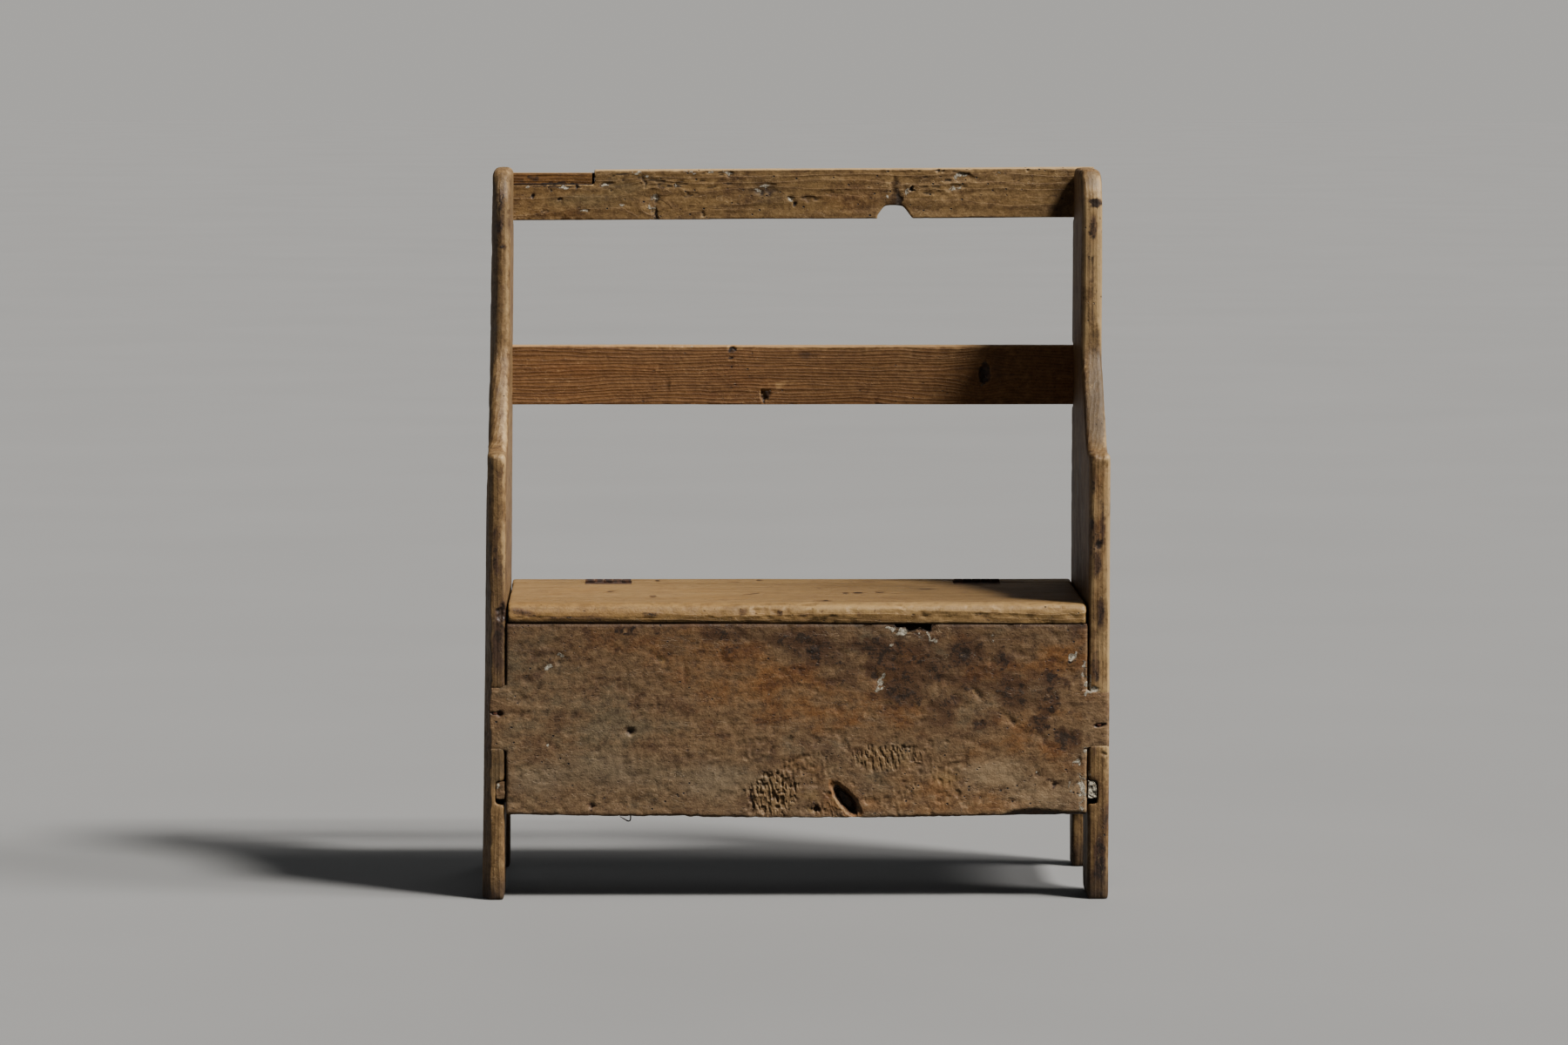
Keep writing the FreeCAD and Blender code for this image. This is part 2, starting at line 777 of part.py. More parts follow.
def bent_nail():
    """A nail driven up into the front board's lower edge and bent over to the left, and its hole."""
    y = front_y + d.front_board_thick / 2
    x = -d.bent_nail_place
    edge_z = d.front_board_bottom
    bend_z = edge_z - d.bent_nail_drop
    turn = math.radians(SIZES["bent_nail_turn"])
    shank_length = d.bent_nail_drop + d.bent_nail_embedded
    bend = doc.addObject("Part::Torus", "bent_nail_bend")
    bend.Placement.Rotation = FreeCAD.Rotation(RIGHT, -90)
    bind(bend, Radius1=d.bent_nail_bend, Radius2=d.brad_radius, Angle3=d.bent_nail_turn)
    put(bend, x - d.bent_nail_bend, y, bend_z)
    tip_direction = FreeCAD.Vector(-math.sin(turn), 0, -math.cos(turn))
    tip = cone(
        "bent_nail_tip",
        d.brad_radius,
        d.nail_tip_radius,
        d.bent_nail_tip_length,
        (
            x - d.bent_nail_bend * (1 - math.cos(turn)),
            y,
            bend_z - d.bent_nail_bend * math.sin(turn),
        ),
        tip_direction,
    )
    shank = cylinder("bent_nail_shank", d.brad_radius, shank_length, (x, y, bend_z), UP)
    node(fused("bent_nail", [shank, bend, tip]), "bent_nail")
    return cylinder(
        "bent_nail_hole", d.brad_radius + d.drill_gap, shank_length + d.drill_gap, (x, y, bend_z), UP
    )


bent_nail_hole = bent_nail()
front_board()
back_board()
floor_board()
slot_fillers()


# Hinges: each is two leaves let in flush beside the seam, with the pin's barrel standing above the seat

pin_z = d.seat_height - d.leaf_thick + d.knuckle_radius
swing_clearance = d.knuckle_radius + d.knuckle_gap


def screw_parts(name, at, grow):
    head_radii = d.screw_head_radius + grow, d.screw_radius + grow
    shank_radii = d.screw_radius + grow, d.screw_tip_radius + grow
    return [
        cone(name + "_head", *head_radii, d.screw_head_height, at, DOWN),
        cone(name + "_shank", *shank_radii, d.screw_length + grow, at, DOWN),
    ]


def leaf_screws(name, hinge_left_x, toward):
    """The slotted screws of one leaf, and their holes. toward is 1 for the strip's leaf, -1 for the lid's."""
    metal = []
    holes = []
    slots = []
    for i, (along, across) in enumerate(zip(SCREW_ALONG_SHARES, SCREW_ACROSS_SHARES), start=1):
        x = hinge_left_x + d.hinge_length * along
        y = seam_y + d.leaf_width * across * toward
        metal += screw_parts(f"{name}_{i}", (x, y, d.seat_height), Length.of(0))
        holes += screw_parts(f"{name}_hole_{i}", (x, y, d.seat_height), d.drill_gap)
        slots.append(
            box(
                f"{name}_slot_{i}",
                (2 * d.screw_head_radius, d.screw_slot_width, d.screw_slot_depth + d.overrun),
                (x - d.screw_head_radius, y - d.screw_slot_width / 2, d.seat_height - d.screw_slot_depth),
            )
        )
    node(cut(name, fused(name + "_blank", metal), slots), name)
    return fused(name + "_holes", holes)


def leaf(name, hinge_left_x, toward, others, pin_gap, screw_holes):
    """One leaf with its knuckles. others are the places along the barrel that the other leaf's take."""
    plate = box(
        name + "_plate",
        (d.hinge_length, d.leaf_width, d.leaf_thick),
        (hinge_left_x, seam_y if toward > 0 else seam_y - d.leaf_width, d.seat_height - d.leaf_thick),
    )
    barrel_at = (hinge_left_x, seam_y, pin_z)
    barrel = cylinder(name + "_barrel", d.knuckle_radius, d.hinge_length, barrel_at, RIGHT)
    bore = cylinder(
        name + "_bore",
        d.hinge_pin_radius + pin_gap,
        d.hinge_length + 2 * d.overrun,
        (hinge_left_x - d.overrun, seam_y, pin_z),
        RIGHT,
    )
    pitch = d.hinge_length / KNUCKLE_COUNT
    gaps = [
        box(
            f"{name}_gap_{k}",
            (pitch + d.knuckle_gap, 2 * swing_clearance, 2 * d.knuckle_radius + 2 * d.overrun),
            (
                hinge_left_x + pitch * k - d.knuckle_gap / 2,
                seam_y - swing_clearance,
                pin_z - d.knuckle_radius - d.overrun,
            ),
        )
        for k in others
    ]
    return node(cut(name, fused(name + "_blank", [plate, barrel]), [bore, screw_holes, *gaps]), name)


def hinge(side, left_x):
    """Both leaves, the pin and the screws of one hinge, and what the lid and the strip lose to them."""
    lid_holes = leaf_screws(f"{side}_hinge_lid_screws", left_x, -1)
    strip_holes = leaf_screws(f"{side}_hinge_strip_screws", left_x, 1)
    strip_knuckles = range(0, KNUCKLE_COUNT, 2)
    lid_knuckles = range(1, KNUCKLE_COUNT, 2)
    leaf(f"{side}_hinge_lid_leaf", left_x, -1, strip_knuckles, d.pin_running_gap, lid_holes)
    leaf(f"{side}_hinge_strip_leaf", left_x, 1, lid_knuckles, d.pin_seat_gap, strip_holes)
    pin_name = f"{side}_hinge_pin"
    node(cylinder(pin_name, d.hinge_pin_radius, d.hinge_length, (left_x, seam_y, pin_z), RIGHT), pin_name)
    half_recess = d.leaf_width + d.joint_gap
    recess = box(
        f"{side}_hinge_recess",
        (d.hinge_length + 2 * d.joint_gap, 2 * half_recess, d.leaf_thick + d.drill_gap + d.overrun),
        (left_x - d.joint_gap, seam_y - half_recess, d.seat_height - d.leaf_thick - d.drill_gap),
    )
    return [recess, lid_holes], [recess, strip_holes]


left_lid_tools, left_strip_tools = hinge("left", lid_left_x + d.hinge_inset)
right_lid_tools, right_strip_tools = hinge("right", lid_right_x - d.hinge_inset - d.hinge_length)


# Seat


def seat_lid():
    """The lid, its worn nose flush with the front edges of the side boards."""
    depth = seam_y - d.seam_gap / 2 - front_y
    points = [(0, 0), (depth, 0), (depth, d.lid_thick), (0, d.lid_thick)]
    body = sketched_board("seat_lid_blank", "YZ_Plane", points, lid_right_x - lid_left_x)
    rounded(body, "seat_lid_nose_top", d.lid_top_radius, lambda e: runs_across(e, 0, d.lid_thick))
    rounded(body, "seat_lid_nose_under", d.lid_under_radius, lambda e: runs_across(e, 0, 0))
    put(body, lid_left_x, front_y, lid_under_z)
    return node(cut("seat_lid", body, left_lid_tools + right_lid_tools), "seat_lid")


def seat_back_strip():
    """The fixed strip behind the lid, which carries the hinges."""
    blank = box(
        "seat_back_strip_blank",
        (strip_length, d.strip_depth - d.seam_gap / 2, d.lid_thick),
        (strip_left_x, seam_y + d.seam_gap / 2, lid_under_z),
    )
    tools = left_strip_tools + right_strip_tools + [seat_strip_holes]
    return node(cut("seat_back_strip", blank, tools), "seat_back_strip")


seat_lid()
seat_back_strip()


# Checks and files


def open_angle():
    """The angle in degrees at which the lid's rounded nose meets the middle rail."""
    reach = (seam_y - front_y - d.lid_top_radius).value
    below = (pin_z - d.seat_height + d.lid_top_radius).value
    room = (rail_y - seam_y - d.lid_top_radius).value
    return math.degrees(math.atan2(below, reach) + math.acos(-room / math.hypot(reach, below)))


doc.recompute()
for thing in doc.Objects:
    if "Invalid" in thing.State or "Error" in thing.State:
        raise RuntimeError(f"{thing.Name} failed: {thing.State}")
for thing in NODES:
    if thing.Shape.isNull() or not thing.Shape.isValid() or not thing.Shape.Solids:
        raise RuntimeError(f"{thing.Label} has no valid shape")

os.makedirs("parts", exist_ok=True)
for thing in NODES:
    thing.Shape.exportStep(f"parts/{thing.Label}.step")
    print(f"{thing.Label}: {len(thing.Shape.Solids)} solid(s), {thing.Shape.Volume / 1000:.2f} cm3")
print(f"{len(NODES)} nodes; the lid meets the middle rail at {open_angle():.2f} degrees")
print(f"hinge axis at y {seam_y.value}, z {pin_z.value:.2f}")
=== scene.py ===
import math

import bmesh
import bpy
import numpy as np
from mathutils import Matrix, Vector


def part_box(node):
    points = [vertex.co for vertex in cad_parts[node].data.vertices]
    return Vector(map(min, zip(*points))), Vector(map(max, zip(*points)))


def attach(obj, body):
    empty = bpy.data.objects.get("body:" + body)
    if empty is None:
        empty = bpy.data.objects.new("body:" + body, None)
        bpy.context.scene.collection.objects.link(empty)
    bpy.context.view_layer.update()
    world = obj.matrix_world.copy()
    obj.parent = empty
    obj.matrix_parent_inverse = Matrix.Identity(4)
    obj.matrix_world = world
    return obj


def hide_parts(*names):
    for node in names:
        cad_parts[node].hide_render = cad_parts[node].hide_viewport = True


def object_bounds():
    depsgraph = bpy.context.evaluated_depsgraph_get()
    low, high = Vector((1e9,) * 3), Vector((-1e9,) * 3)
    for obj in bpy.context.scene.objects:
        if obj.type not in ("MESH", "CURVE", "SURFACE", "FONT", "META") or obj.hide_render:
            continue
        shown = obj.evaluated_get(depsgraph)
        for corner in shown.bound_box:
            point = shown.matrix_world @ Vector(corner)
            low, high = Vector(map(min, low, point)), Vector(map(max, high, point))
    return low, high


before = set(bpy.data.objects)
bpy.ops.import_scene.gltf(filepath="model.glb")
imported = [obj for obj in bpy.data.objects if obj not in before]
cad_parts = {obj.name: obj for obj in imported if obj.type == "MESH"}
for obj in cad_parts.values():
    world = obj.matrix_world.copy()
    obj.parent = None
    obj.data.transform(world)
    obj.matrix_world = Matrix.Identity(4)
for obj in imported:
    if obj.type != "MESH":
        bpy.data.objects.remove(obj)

CAD_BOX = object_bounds()
MM = 0.001

# ------------------------------------------------------------------ places on the bench, in metres
FRONT = -0.190           # the face of the front board and the front edges of the sides
OUTER_FACE = 0.4325      # the outer faces of the sides, from the middle
SEAT_TOP = 0.410
LEAF_BED = 0.4081        # the beds of the hinge leaves
HINGE_LINE = 0.135       # the hinge pins, behind the middle
BOX_TOP = 0.3812         # the front board's top edge at its right end
FRONTWARD, BACKWARD, UPWARD, DOWNWARD = (0, -1, 0), (0, 1, 0), (0, 0, 1), (0, 0, -1)
# how each board lies: which way its grain, its thickness and its width run
UPRIGHT, LEVEL, FLAT = (2, 0, 1), (0, 1, 2), (0, 2, 1)

# ------------------------------------------------------------------ the photograph's camera
PHOTO_WIDTH, PHOTO_HEIGHT = 1800, 1200
SENSOR_WIDTH, LENS = 36.0, 144.8
CAMERA_PLACE = np.array((-0.1914, -8.8077, 1.2314))
CAMERA_TURN, CAMERA_TIP, CAMERA_ROLL = (math.radians(a) for a in (1.164, 4.706, 0.07))
PIXELS_PER_SLOPE = LENS / SENSOR_WIDTH * PHOTO_WIDTH


def camera_axes():
    """The directions right, up and ahead of the photograph's camera."""
    sin, cos = math.sin, math.cos
    ahead = np.array((sin(CAMERA_TURN) * cos(CAMERA_TIP), cos(CAMERA_TURN) * cos(CAMERA_TIP),
                      -sin(CAMERA_TIP)))
    level = np.array((cos(CAMERA_TURN), -sin(CAMERA_TURN), 0.0))
    right = cos(CAMERA_ROLL) * level + sin(CAMERA_ROLL) * np.cross(level, ahead)
    return right, np.cross(right, ahead), ahead


RIGHT, UP, AHEAD = camera_axes()


def in_photo(points):
    """Where points of the bench fall in the photograph, in its pixels."""
    away = points - CAMERA_PLACE
    depth = away @ AHEAD
    return np.stack((PHOTO_WIDTH / 2 + PIXELS_PER_SLOPE * (away @ RIGHT) / depth,
                     PHOTO_HEIGHT / 2 - PIXELS_PER_SLOPE * (away @ UP) / depth), 1)


def make_camera():
    data = bpy.data.cameras.new("camera")
    data.lens, data.sensor_width = LENS, SENSOR_WIDTH
    data.clip_start, data.clip_end = 0.1, 200.0
    camera = bpy.data.objects.new("camera", data)
    turn = Matrix((RIGHT, UP, -AHEAD)).transposed().to_4x4()
    camera.matrix_world = Matrix.Translation(Vector(CAMERA_PLACE)) @ turn
    bpy.context.scene.collection.objects.link(camera)
    bpy.context.scene.camera = camera


# ------------------------------------------------------------------ unevenness
HASH_LAYER, HASH_FIRST, HASH_SECOND = 974634777, 1274126177, 668265263
CELL_STEPS = np.array((374761393, HASH_SECOND, HASH_FIRST), np.uint32)[:, None]


def unevenness(points, spacing, seed, layers=3):
    """Smooth random ups and downs from -1 to 1, with spacing as their size in millimetres along each axis."""
    # the bare numbers shift and scale the layers, so that their cells never line up
    p = (points / (np.ones(3) * spacing * MM) + 31.7 * (seed % 89)).T
    total, weight, most = np.zeros(p.shape[1]), 1.0, 0.0
    for layer in range(layers):
        cell = np.floor(p)
        t = p - cell
        t = t * t * t * (t * (t * 6 - 15) + 10)
        near = cell.astype(np.int64).astype(np.uint32) * CELL_STEPS
        near[0] += np.uint32((seed + 13 * layer) * HASH_LAYER & 0xFFFFFFFF)
        corners = ((near, 1 - t), (near + CELL_STEPS, t))
        for i, j, k in np.ndindex(2, 2, 2):
            # a whole-number hash of each corner of the cell
            n = corners[i][0][0] + corners[j][0][1] + corners[k][0][2]
            n = (n ^ (n >> 13)) * np.uint32(HASH_FIRST)
            n = (n ^ (n >> 16)) * np.uint32(HASH_SECOND)
            share = corners[i][1][0] * corners[j][1][1] * corners[k][1][2]
            total += weight * share * ((n >> 9 & 0xFFFF) / 32767.5 - 1.0)
        most += weight
        weight *= 0.5
        p = p * 2.03 + 5.3
    return np.clip(1.7 * total / most, -1, 1)


def rise(values, low, high):
    """Smoothly from 0 at low to 1 at high; low may be the larger."""
    t = np.clip((values - low) / (high - low), 0, 1)
    return t * t * (3 - 2 * t)


# ------------------------------------------------------------------ meshes
def plain_object(mesh, name):
    thing = bpy.data.objects.new(name, mesh)
    bpy.context.scene.collection.objects.link(thing)
    return thing


def object_from(whole, name):
    """Turns a bmesh into an object."""
    mesh = bpy.data.meshes.new(name)
    whole.to_mesh(mesh)
    whole.free()
    return plain_object(mesh, name)


def evaluated_mesh(thing):
    """The object's mesh with its modifiers worked in; the object itself goes."""
    graph = bpy.context.evaluated_depsgraph_get()
    mesh = bpy.data.meshes.new_from_object(thing.evaluated_get(graph))
    bpy.data.objects.remove(thing)
    return mesh


def smooth(mesh):
    mesh.polygons.foreach_set("use_smooth", np.ones(len(mesh.polygons), bool))


def loose_mesh(name):
    """A CAD node's mesh as a bmesh of its own, with its loose triangles joined."""
    whole = bmesh.new()
    whole.from_mesh(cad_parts[name].data)
    bmesh.ops.remove_doubles(whole, verts=whole.verts, dist=2e-5)
    return whole


def islands(name):
    """The points of each nail, brad or screw in a CAD node."""
    whole = loose_mesh(name)
    left, found = set(whole.verts), []
    while left:
        heap, island = [left.pop()], []
        while heap:
            vert = heap.pop()
            island.append(vert.co.copy())
            for edge in vert.link_edges:
                other = edge.other_vert(vert)
                if other in left:
                    left.remove(other)
                    heap.append(other)
        found.append(np.array(island))
    whole.free()
    return found


METAL_MARGIN = 0.25 * MM
METAL_BOXES = [(island.min(0) - METAL_MARGIN, island.max(0) + METAL_MARGIN)
               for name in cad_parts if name.endswith(("nails", "brads", "screws", "bent_nail"))
               for island in islands(name)]


def even_mesh(name, pitch, stopped):
    """A CAD node's copy in even squares of that pitch, with its nail holes stopped if it is wood."""
    whole = loose_mesh(name)
    for low, high in METAL_BOXES if stopped else ():
        inside = [f for f in whole.faces
                  if all(all(low[k] <= v.co[k] <= high[k] for k in range(3)) for v in f.verts)]
        bmesh.ops.delete(whole, geom=inside, context="FACES")
    bmesh.ops.holes_fill(whole, edges=[e for e in whole.edges if e.is_boundary], sides=0)
    thing = object_from(whole, name + "_copy")
    even = thing.modifiers.new("even", "REMESH")
    even.mode, even.voxel_size = "VOXEL", pitch
    return evaluated_mesh(thing)


# ------------------------------------------------------------------ boards
# some masks also carry painted shade and painted highlights in places, besides real dirt, stains and wear
MASKS = ("worn", "grime", "stain", "tone", "pale", "raw", "grey", "flow", "dark")
TWO_WAY_MASKS = ("tone", "flow")     # these run from -1 to 1, the others from 0 to 1
MARK_SEED = 3


class Board:
    """A piece of the bench, old and rubbed: an even copy of its CAD node that marks are worked into."""

    def __init__(self, node, pitch, finer=(), stopped=True):
        """pitch is in millimetres; each function in finer chooses points between which it is halved."""
        self.node, self.pitch = node, pitch * MM
        self.low, self.high = (np.array(c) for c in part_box(node))
        self.mesh = even_mesh(node, self.pitch, stopped)
        for chosen in finer:
            self.divide(chosen)
        self.read_mesh()
        self.start = self.co.copy()
        self.masks = {name: np.zeros(len(self.co)) for name in MASKS}
        self.arris = np.clip(self.spread(np.clip(self.bulge(), 0, 1), 4) * 6, 0, 1)

    def divide(self, chosen):
        """Halves the squares where chosen(points) says so."""
        whole = bmesh.new()
        whole.from_mesh(self.mesh)
        mask = chosen(np.array([v.co for v in whole.verts]))
        for vert, take in zip(whole.verts, mask):
            vert.tag = bool(take)
        edges = [e for e in whole.edges if e.verts[0].tag and e.verts[1].tag]
        bmesh.ops.subdivide_edges(whole, edges=edges, cuts=1, use_grid_fill=True)
        whole.to_mesh(self.mesh)
        whole.free()

    def read_mesh(self):
        count = len(self.mesh.vertices)
        self.co = np.zeros(count * 3)
        self.mesh.vertices.foreach_get("co", self.co)
        self.co = self.co.reshape(-1, 3)
        edges = np.zeros(len(self.mesh.edges) * 2, np.int32)
        self.mesh.edges.foreach_get("vertices", edges)
        self.a, self.b = edges.reshape(-1, 2).T
        self.valence = np.bincount(self.a, minlength=count) + np.bincount(self.b, minlength=count)

    def around(self, values):
        """The mean of each point's neighbours."""
        count = len(self.valence)
        columns = [np.bincount(self.a, v[self.b], count) + np.bincount(self.b, v[self.a], count)
                   for v in values.reshape(count, -1).T]
        return (np.stack(columns, 1) / self.valence[:, None]).reshape(values.shape)

    def spread(self, values, rounds):
        for _ in range(rounds):
            values = 0.5 * (values + self.around(values))
        return values

    def normals(self):
        self.mesh.vertices.foreach_set("co", self.co.ravel())
        self.mesh.update()
        found = np.zeros(len(self.co) * 3)
        self.mesh.vertex_normals.foreach_get("vector", found)
        return found.reshape(-1, 3)

    def bulge(self):
        """How far each point stands out over its neighbours, as a share of the pitch."""
        return ((self.co - self.around(self.co)) * self.normals()).sum(1) / self.pitch

    def facing(self, way, least=0.25):
        """1 where the surface looks that way, falling to 0."""
        return rise(self.normals() @ np.array(way, float), least, least + 0.3)

    def add(self, **amounts):
        """Adds to the masks of those names."""
        for name, amount in amounts.items():
            self.masks[name] = self.masks[name] + amount

    def ease(self, rounds, share):
        """Rounds the wood off, most where share is 1."""
        share = np.clip(share, 0, 1)[:, None]
        for _ in range(rounds):
            self.co += 0.6 * share * (self.around(self.co) - self.co)

    def sink(self, depth, way=None):
        """Takes depth millimetres of wood off each point, straight in or along way."""
        inward = -self.normals() if way is None else np.array(way, float)
        self.co = self.co + inward * (np.ones(len(self.co)) * depth * MM)[:, None]

    def wave(self, depth, spacing, seed, where=1.0):
        """Slow waves of the plane, depth millimetres deep on average."""
        self.sink((depth + depth * unevenness(self.start, spacing, seed)) * where)

    def dent(self, depth, spacing, seed, where, low, high=0.95):
        """Scattered dents up to depth millimetres deep; fewer with a larger low."""
        self.sink(depth * where * rise(unevenness(self.start, spacing, seed, 2), low, high))

    def mark(self, field, rows, wobble=2.0, least=0.15):
        """Works marks seen in the photograph into a mask, or into the wood if field is depth.

        Each row is (x, y, half width, half height, amount), in the photograph's pixels, and a turn in degrees
        if there is one. Amounts of depth are in millimetres. wobble makes outlines uneven, in pixels, and
        least is how square to the camera the surface has to be."""
        spot = in_photo(self.co)
        to_camera = CAMERA_PLACE - self.co
        to_camera /= np.linalg.norm(to_camera, axis=1)[:, None]
        seen = rise((self.normals() * to_camera).sum(1), least, least * 2.5)
        for axis in (0, 1):
            spot[:, axis] += wobble * unevenness(self.co, 6, MARK_SEED + axis, 2)
        total = np.zeros(len(self.co))
        for x, y, half_width, half_height, amount, *turn in rows:
            total += amount * np.clip(1 - reach_of(spot, x, y, half_width, half_height, *turn), 0, 1)
        total *= seen
        if field == "depth":
            self.sink(total)
        else:
            self.add(**{field: total})

    def knots(self, lie, rows, depth=0.6, dark=0.8):
        """Knots at (x, y, z, radius in millimetres): the grain runs round them, and they are dark and sunk."""
        for *centre, radius in rows:
            away = self.co - np.array(centre)
            along, thick, wide = (away[:, k] for k in lie)
            near = np.abs(thick) < 12 * MM
            reach = np.hypot(along / 1.35, wide) / (radius * MM)
            bend = -0.9 * wide * np.exp(-(reach / 2.4) ** 2) + 0.8 * radius * MM * np.exp(-reach * 1.1)
            self.add(flow=near * bend, stain=near * dark * rise(reach, 1.25, 0.65))
            self.sink(near * depth * rise(reach, 1.2, 0.7))

    def finish(self, name, material, body, slot, dirt=1.0):
        """Gives the piece its masks and material and puts it in its node's place."""
        self.co = np.clip(self.co, self.low, self.high)
        standing = self.spread(self.bulge(), 1)
        hollow = self.spread(np.clip(-standing * 9, 0, 1), 1)
        self.add(grime=dirt * hollow, worn=np.clip(standing * 6, 0, 1) * 0.5)
        mesh = self.mesh
        mesh.vertices.foreach_set("co", self.co.ravel())
        for mask, values in self.masks.items():
            low = -1.0 if mask in TWO_WAY_MASKS else 0.0
            layer = mesh.attributes.new(mask, "FLOAT", "POINT")
            layer.data.foreach_set("value", np.clip(values, low, 1.0).astype(np.float32))
        smooth(mesh)
        mesh.materials.clear()
        mesh.materials.append(material)
        mesh.update()
        piece = plain_object(mesh, name)
        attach(piece, body)
        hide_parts(self.node)


def reach_of(spot, x, y, half_width, half_height, turn=0):
    """0 at the middle of an ellipse in the photograph and 1 at its edge."""
    dx, dy = spot[:, 0] - x, spot[:, 1] - y
    c, s = math.cos(math.radians(turn)), math.sin(math.radians(turn))
    return ((dx * c + dy * s) / half_width) ** 2 + ((dy * c - dx * s) / half_height) ** 2


# ------------------------------------------------------------------ finishes
def add_node(tree, kind, settings=None, values=None):
    """Adds a node to a tree: its settings first, then the values or links of its sockets."""
    made = tree.nodes.new(kind)
    for key, value in (settings or {}).items():
        setattr(made, key, value)
    for key, value in (values or {}).items():
        if isinstance(value, bpy.types.NodeSocket):
            tree.links.new(value, made.inputs[key])
        else:
            made.inputs[key].default_value = value
    return made


def empty_material(name):
    material = bpy.data.materials.new(name)
    material.use_nodes = True
    material.node_tree.nodes.clear()
    return material


def tint(red, green, blue):
    """A colour given as it looks on a screen, 0 to 255."""
    def linear(v):
        v /= 255
        return v / 12.92 if v <= 0.04045 else ((v + 0.055) / 1.055) ** 2.4
    return (linear(red), linear(green), linear(blue), 1.0)


class Amount:
    """A number, vector or colour worked out by a finish's nodes."""

    def __init__(self, finish, socket):
        self.finish, self.socket = finish, socket

    def __add__(self, other):
        return self.finish.sum("ADD", self, other)

    def __sub__(self, other):
        return self.finish.sum("SUBTRACT", self, other)

    def __rsub__(self, other):
        return self.finish.sum("SUBTRACT", other, self)

    def __mul__(self, other):
        return self.finish.sum("MULTIPLY", self, other)

    def __truediv__(self, other):
        return self.finish.sum("DIVIDE", self, other)

    __radd__, __rmul__ = __add__, __mul__


class Finish:
    """A material of nodes, built up from expressions."""

    def __init__(self, name):
        self.material = empty_material(name)
        self.place = self.node("ShaderNodeTexCoord", out="Object")

    def node(self, kind, settings=None, values=None, out=0):
        values = {key: value.socket if isinstance(value, Amount) else value
                  for key, value in (values or {}).items()}
        made = add_node(self.material.node_tree, kind, settings, values)
        return Amount(self, made.outputs[out])

    def sum(self, operation, a, b=0.0):
        return self.node("ShaderNodeMath", {"operation": operation}, {0: a, 1: b})

    def rise(self, value, low, high):
        """Smoothly from 0 at low to 1 at high; low may be the larger."""
        return self.node("ShaderNodeMapRange", {"interpolation_type": "SMOOTHSTEP"},
                         {"Value": value, "From Min": low, "From Max": high})

    def parts(self, vector):
        split = self.node("ShaderNodeSeparateXYZ", None, {0: vector}).socket.node
        return [Amount(self, socket) for socket in split.outputs]

    def vector(self, x, y, z):
        return self.node("ShaderNodeCombineXYZ", None, {0: x, 1: y, 2: z})

    def noise(self, vector, scale, detail=2.0, rough=0.5):
        return self.node("ShaderNodeTexNoise", None,
                         {"Vector": vector, "Scale": scale, "Detail": detail, "Roughness": rough})

    def cells(self, vector):
        return self.node("ShaderNodeTexVoronoi", None, {"Vector": vector, "Scale": 1.0}, "Distance")

    def read(self, name):
        return self.node("ShaderNodeAttribute", {"attribute_name": name}, out="Fac")

    def mix(self, share, a, b, way="MIX"):
        settings = {"data_type": "RGBA", "blend_type": way, "clamp_factor": True}
        return self.node("ShaderNodeMix", settings, {0: share, 6: a, 7: b}, 2)

    def shade(self, colour, roughness, height, metal=0.0, shine=0.3, relief=1.0):
        """The surface itself. height is in units of relief, and relief in millimetres."""
        normal = self.node("ShaderNodeBump", None,
                           {"Height": height, "Distance": relief * MM, "Strength": 1.0})
        surface = self.node("ShaderNodeBsdfPrincipled", None, {
            "Base Color": colour, "Roughness": roughness, "Metallic": metal,
            "Specular IOR Level": shine, "Normal": normal})
        add_node(self.material.node_tree, "ShaderNodeOutputMaterial", None, {"Surface": surface.socket})
        return self.material


# the dirt colour also serves as painted shade where a board paints shade
DIRT_AND_SHADE, SOAKED_DIRT = tint(30, 23, 18), tint(36, 27, 19)
BARE_WOOD, GREYED_WOOD = tint(140, 110, 66), tint(116, 102, 80)
PLASTER, DIRTY_PLASTER = tint(208, 200, 180), tint(126, 118, 102)
FLECK, WORM_HOLE = tint(30, 22, 17), tint(16, 11, 8)


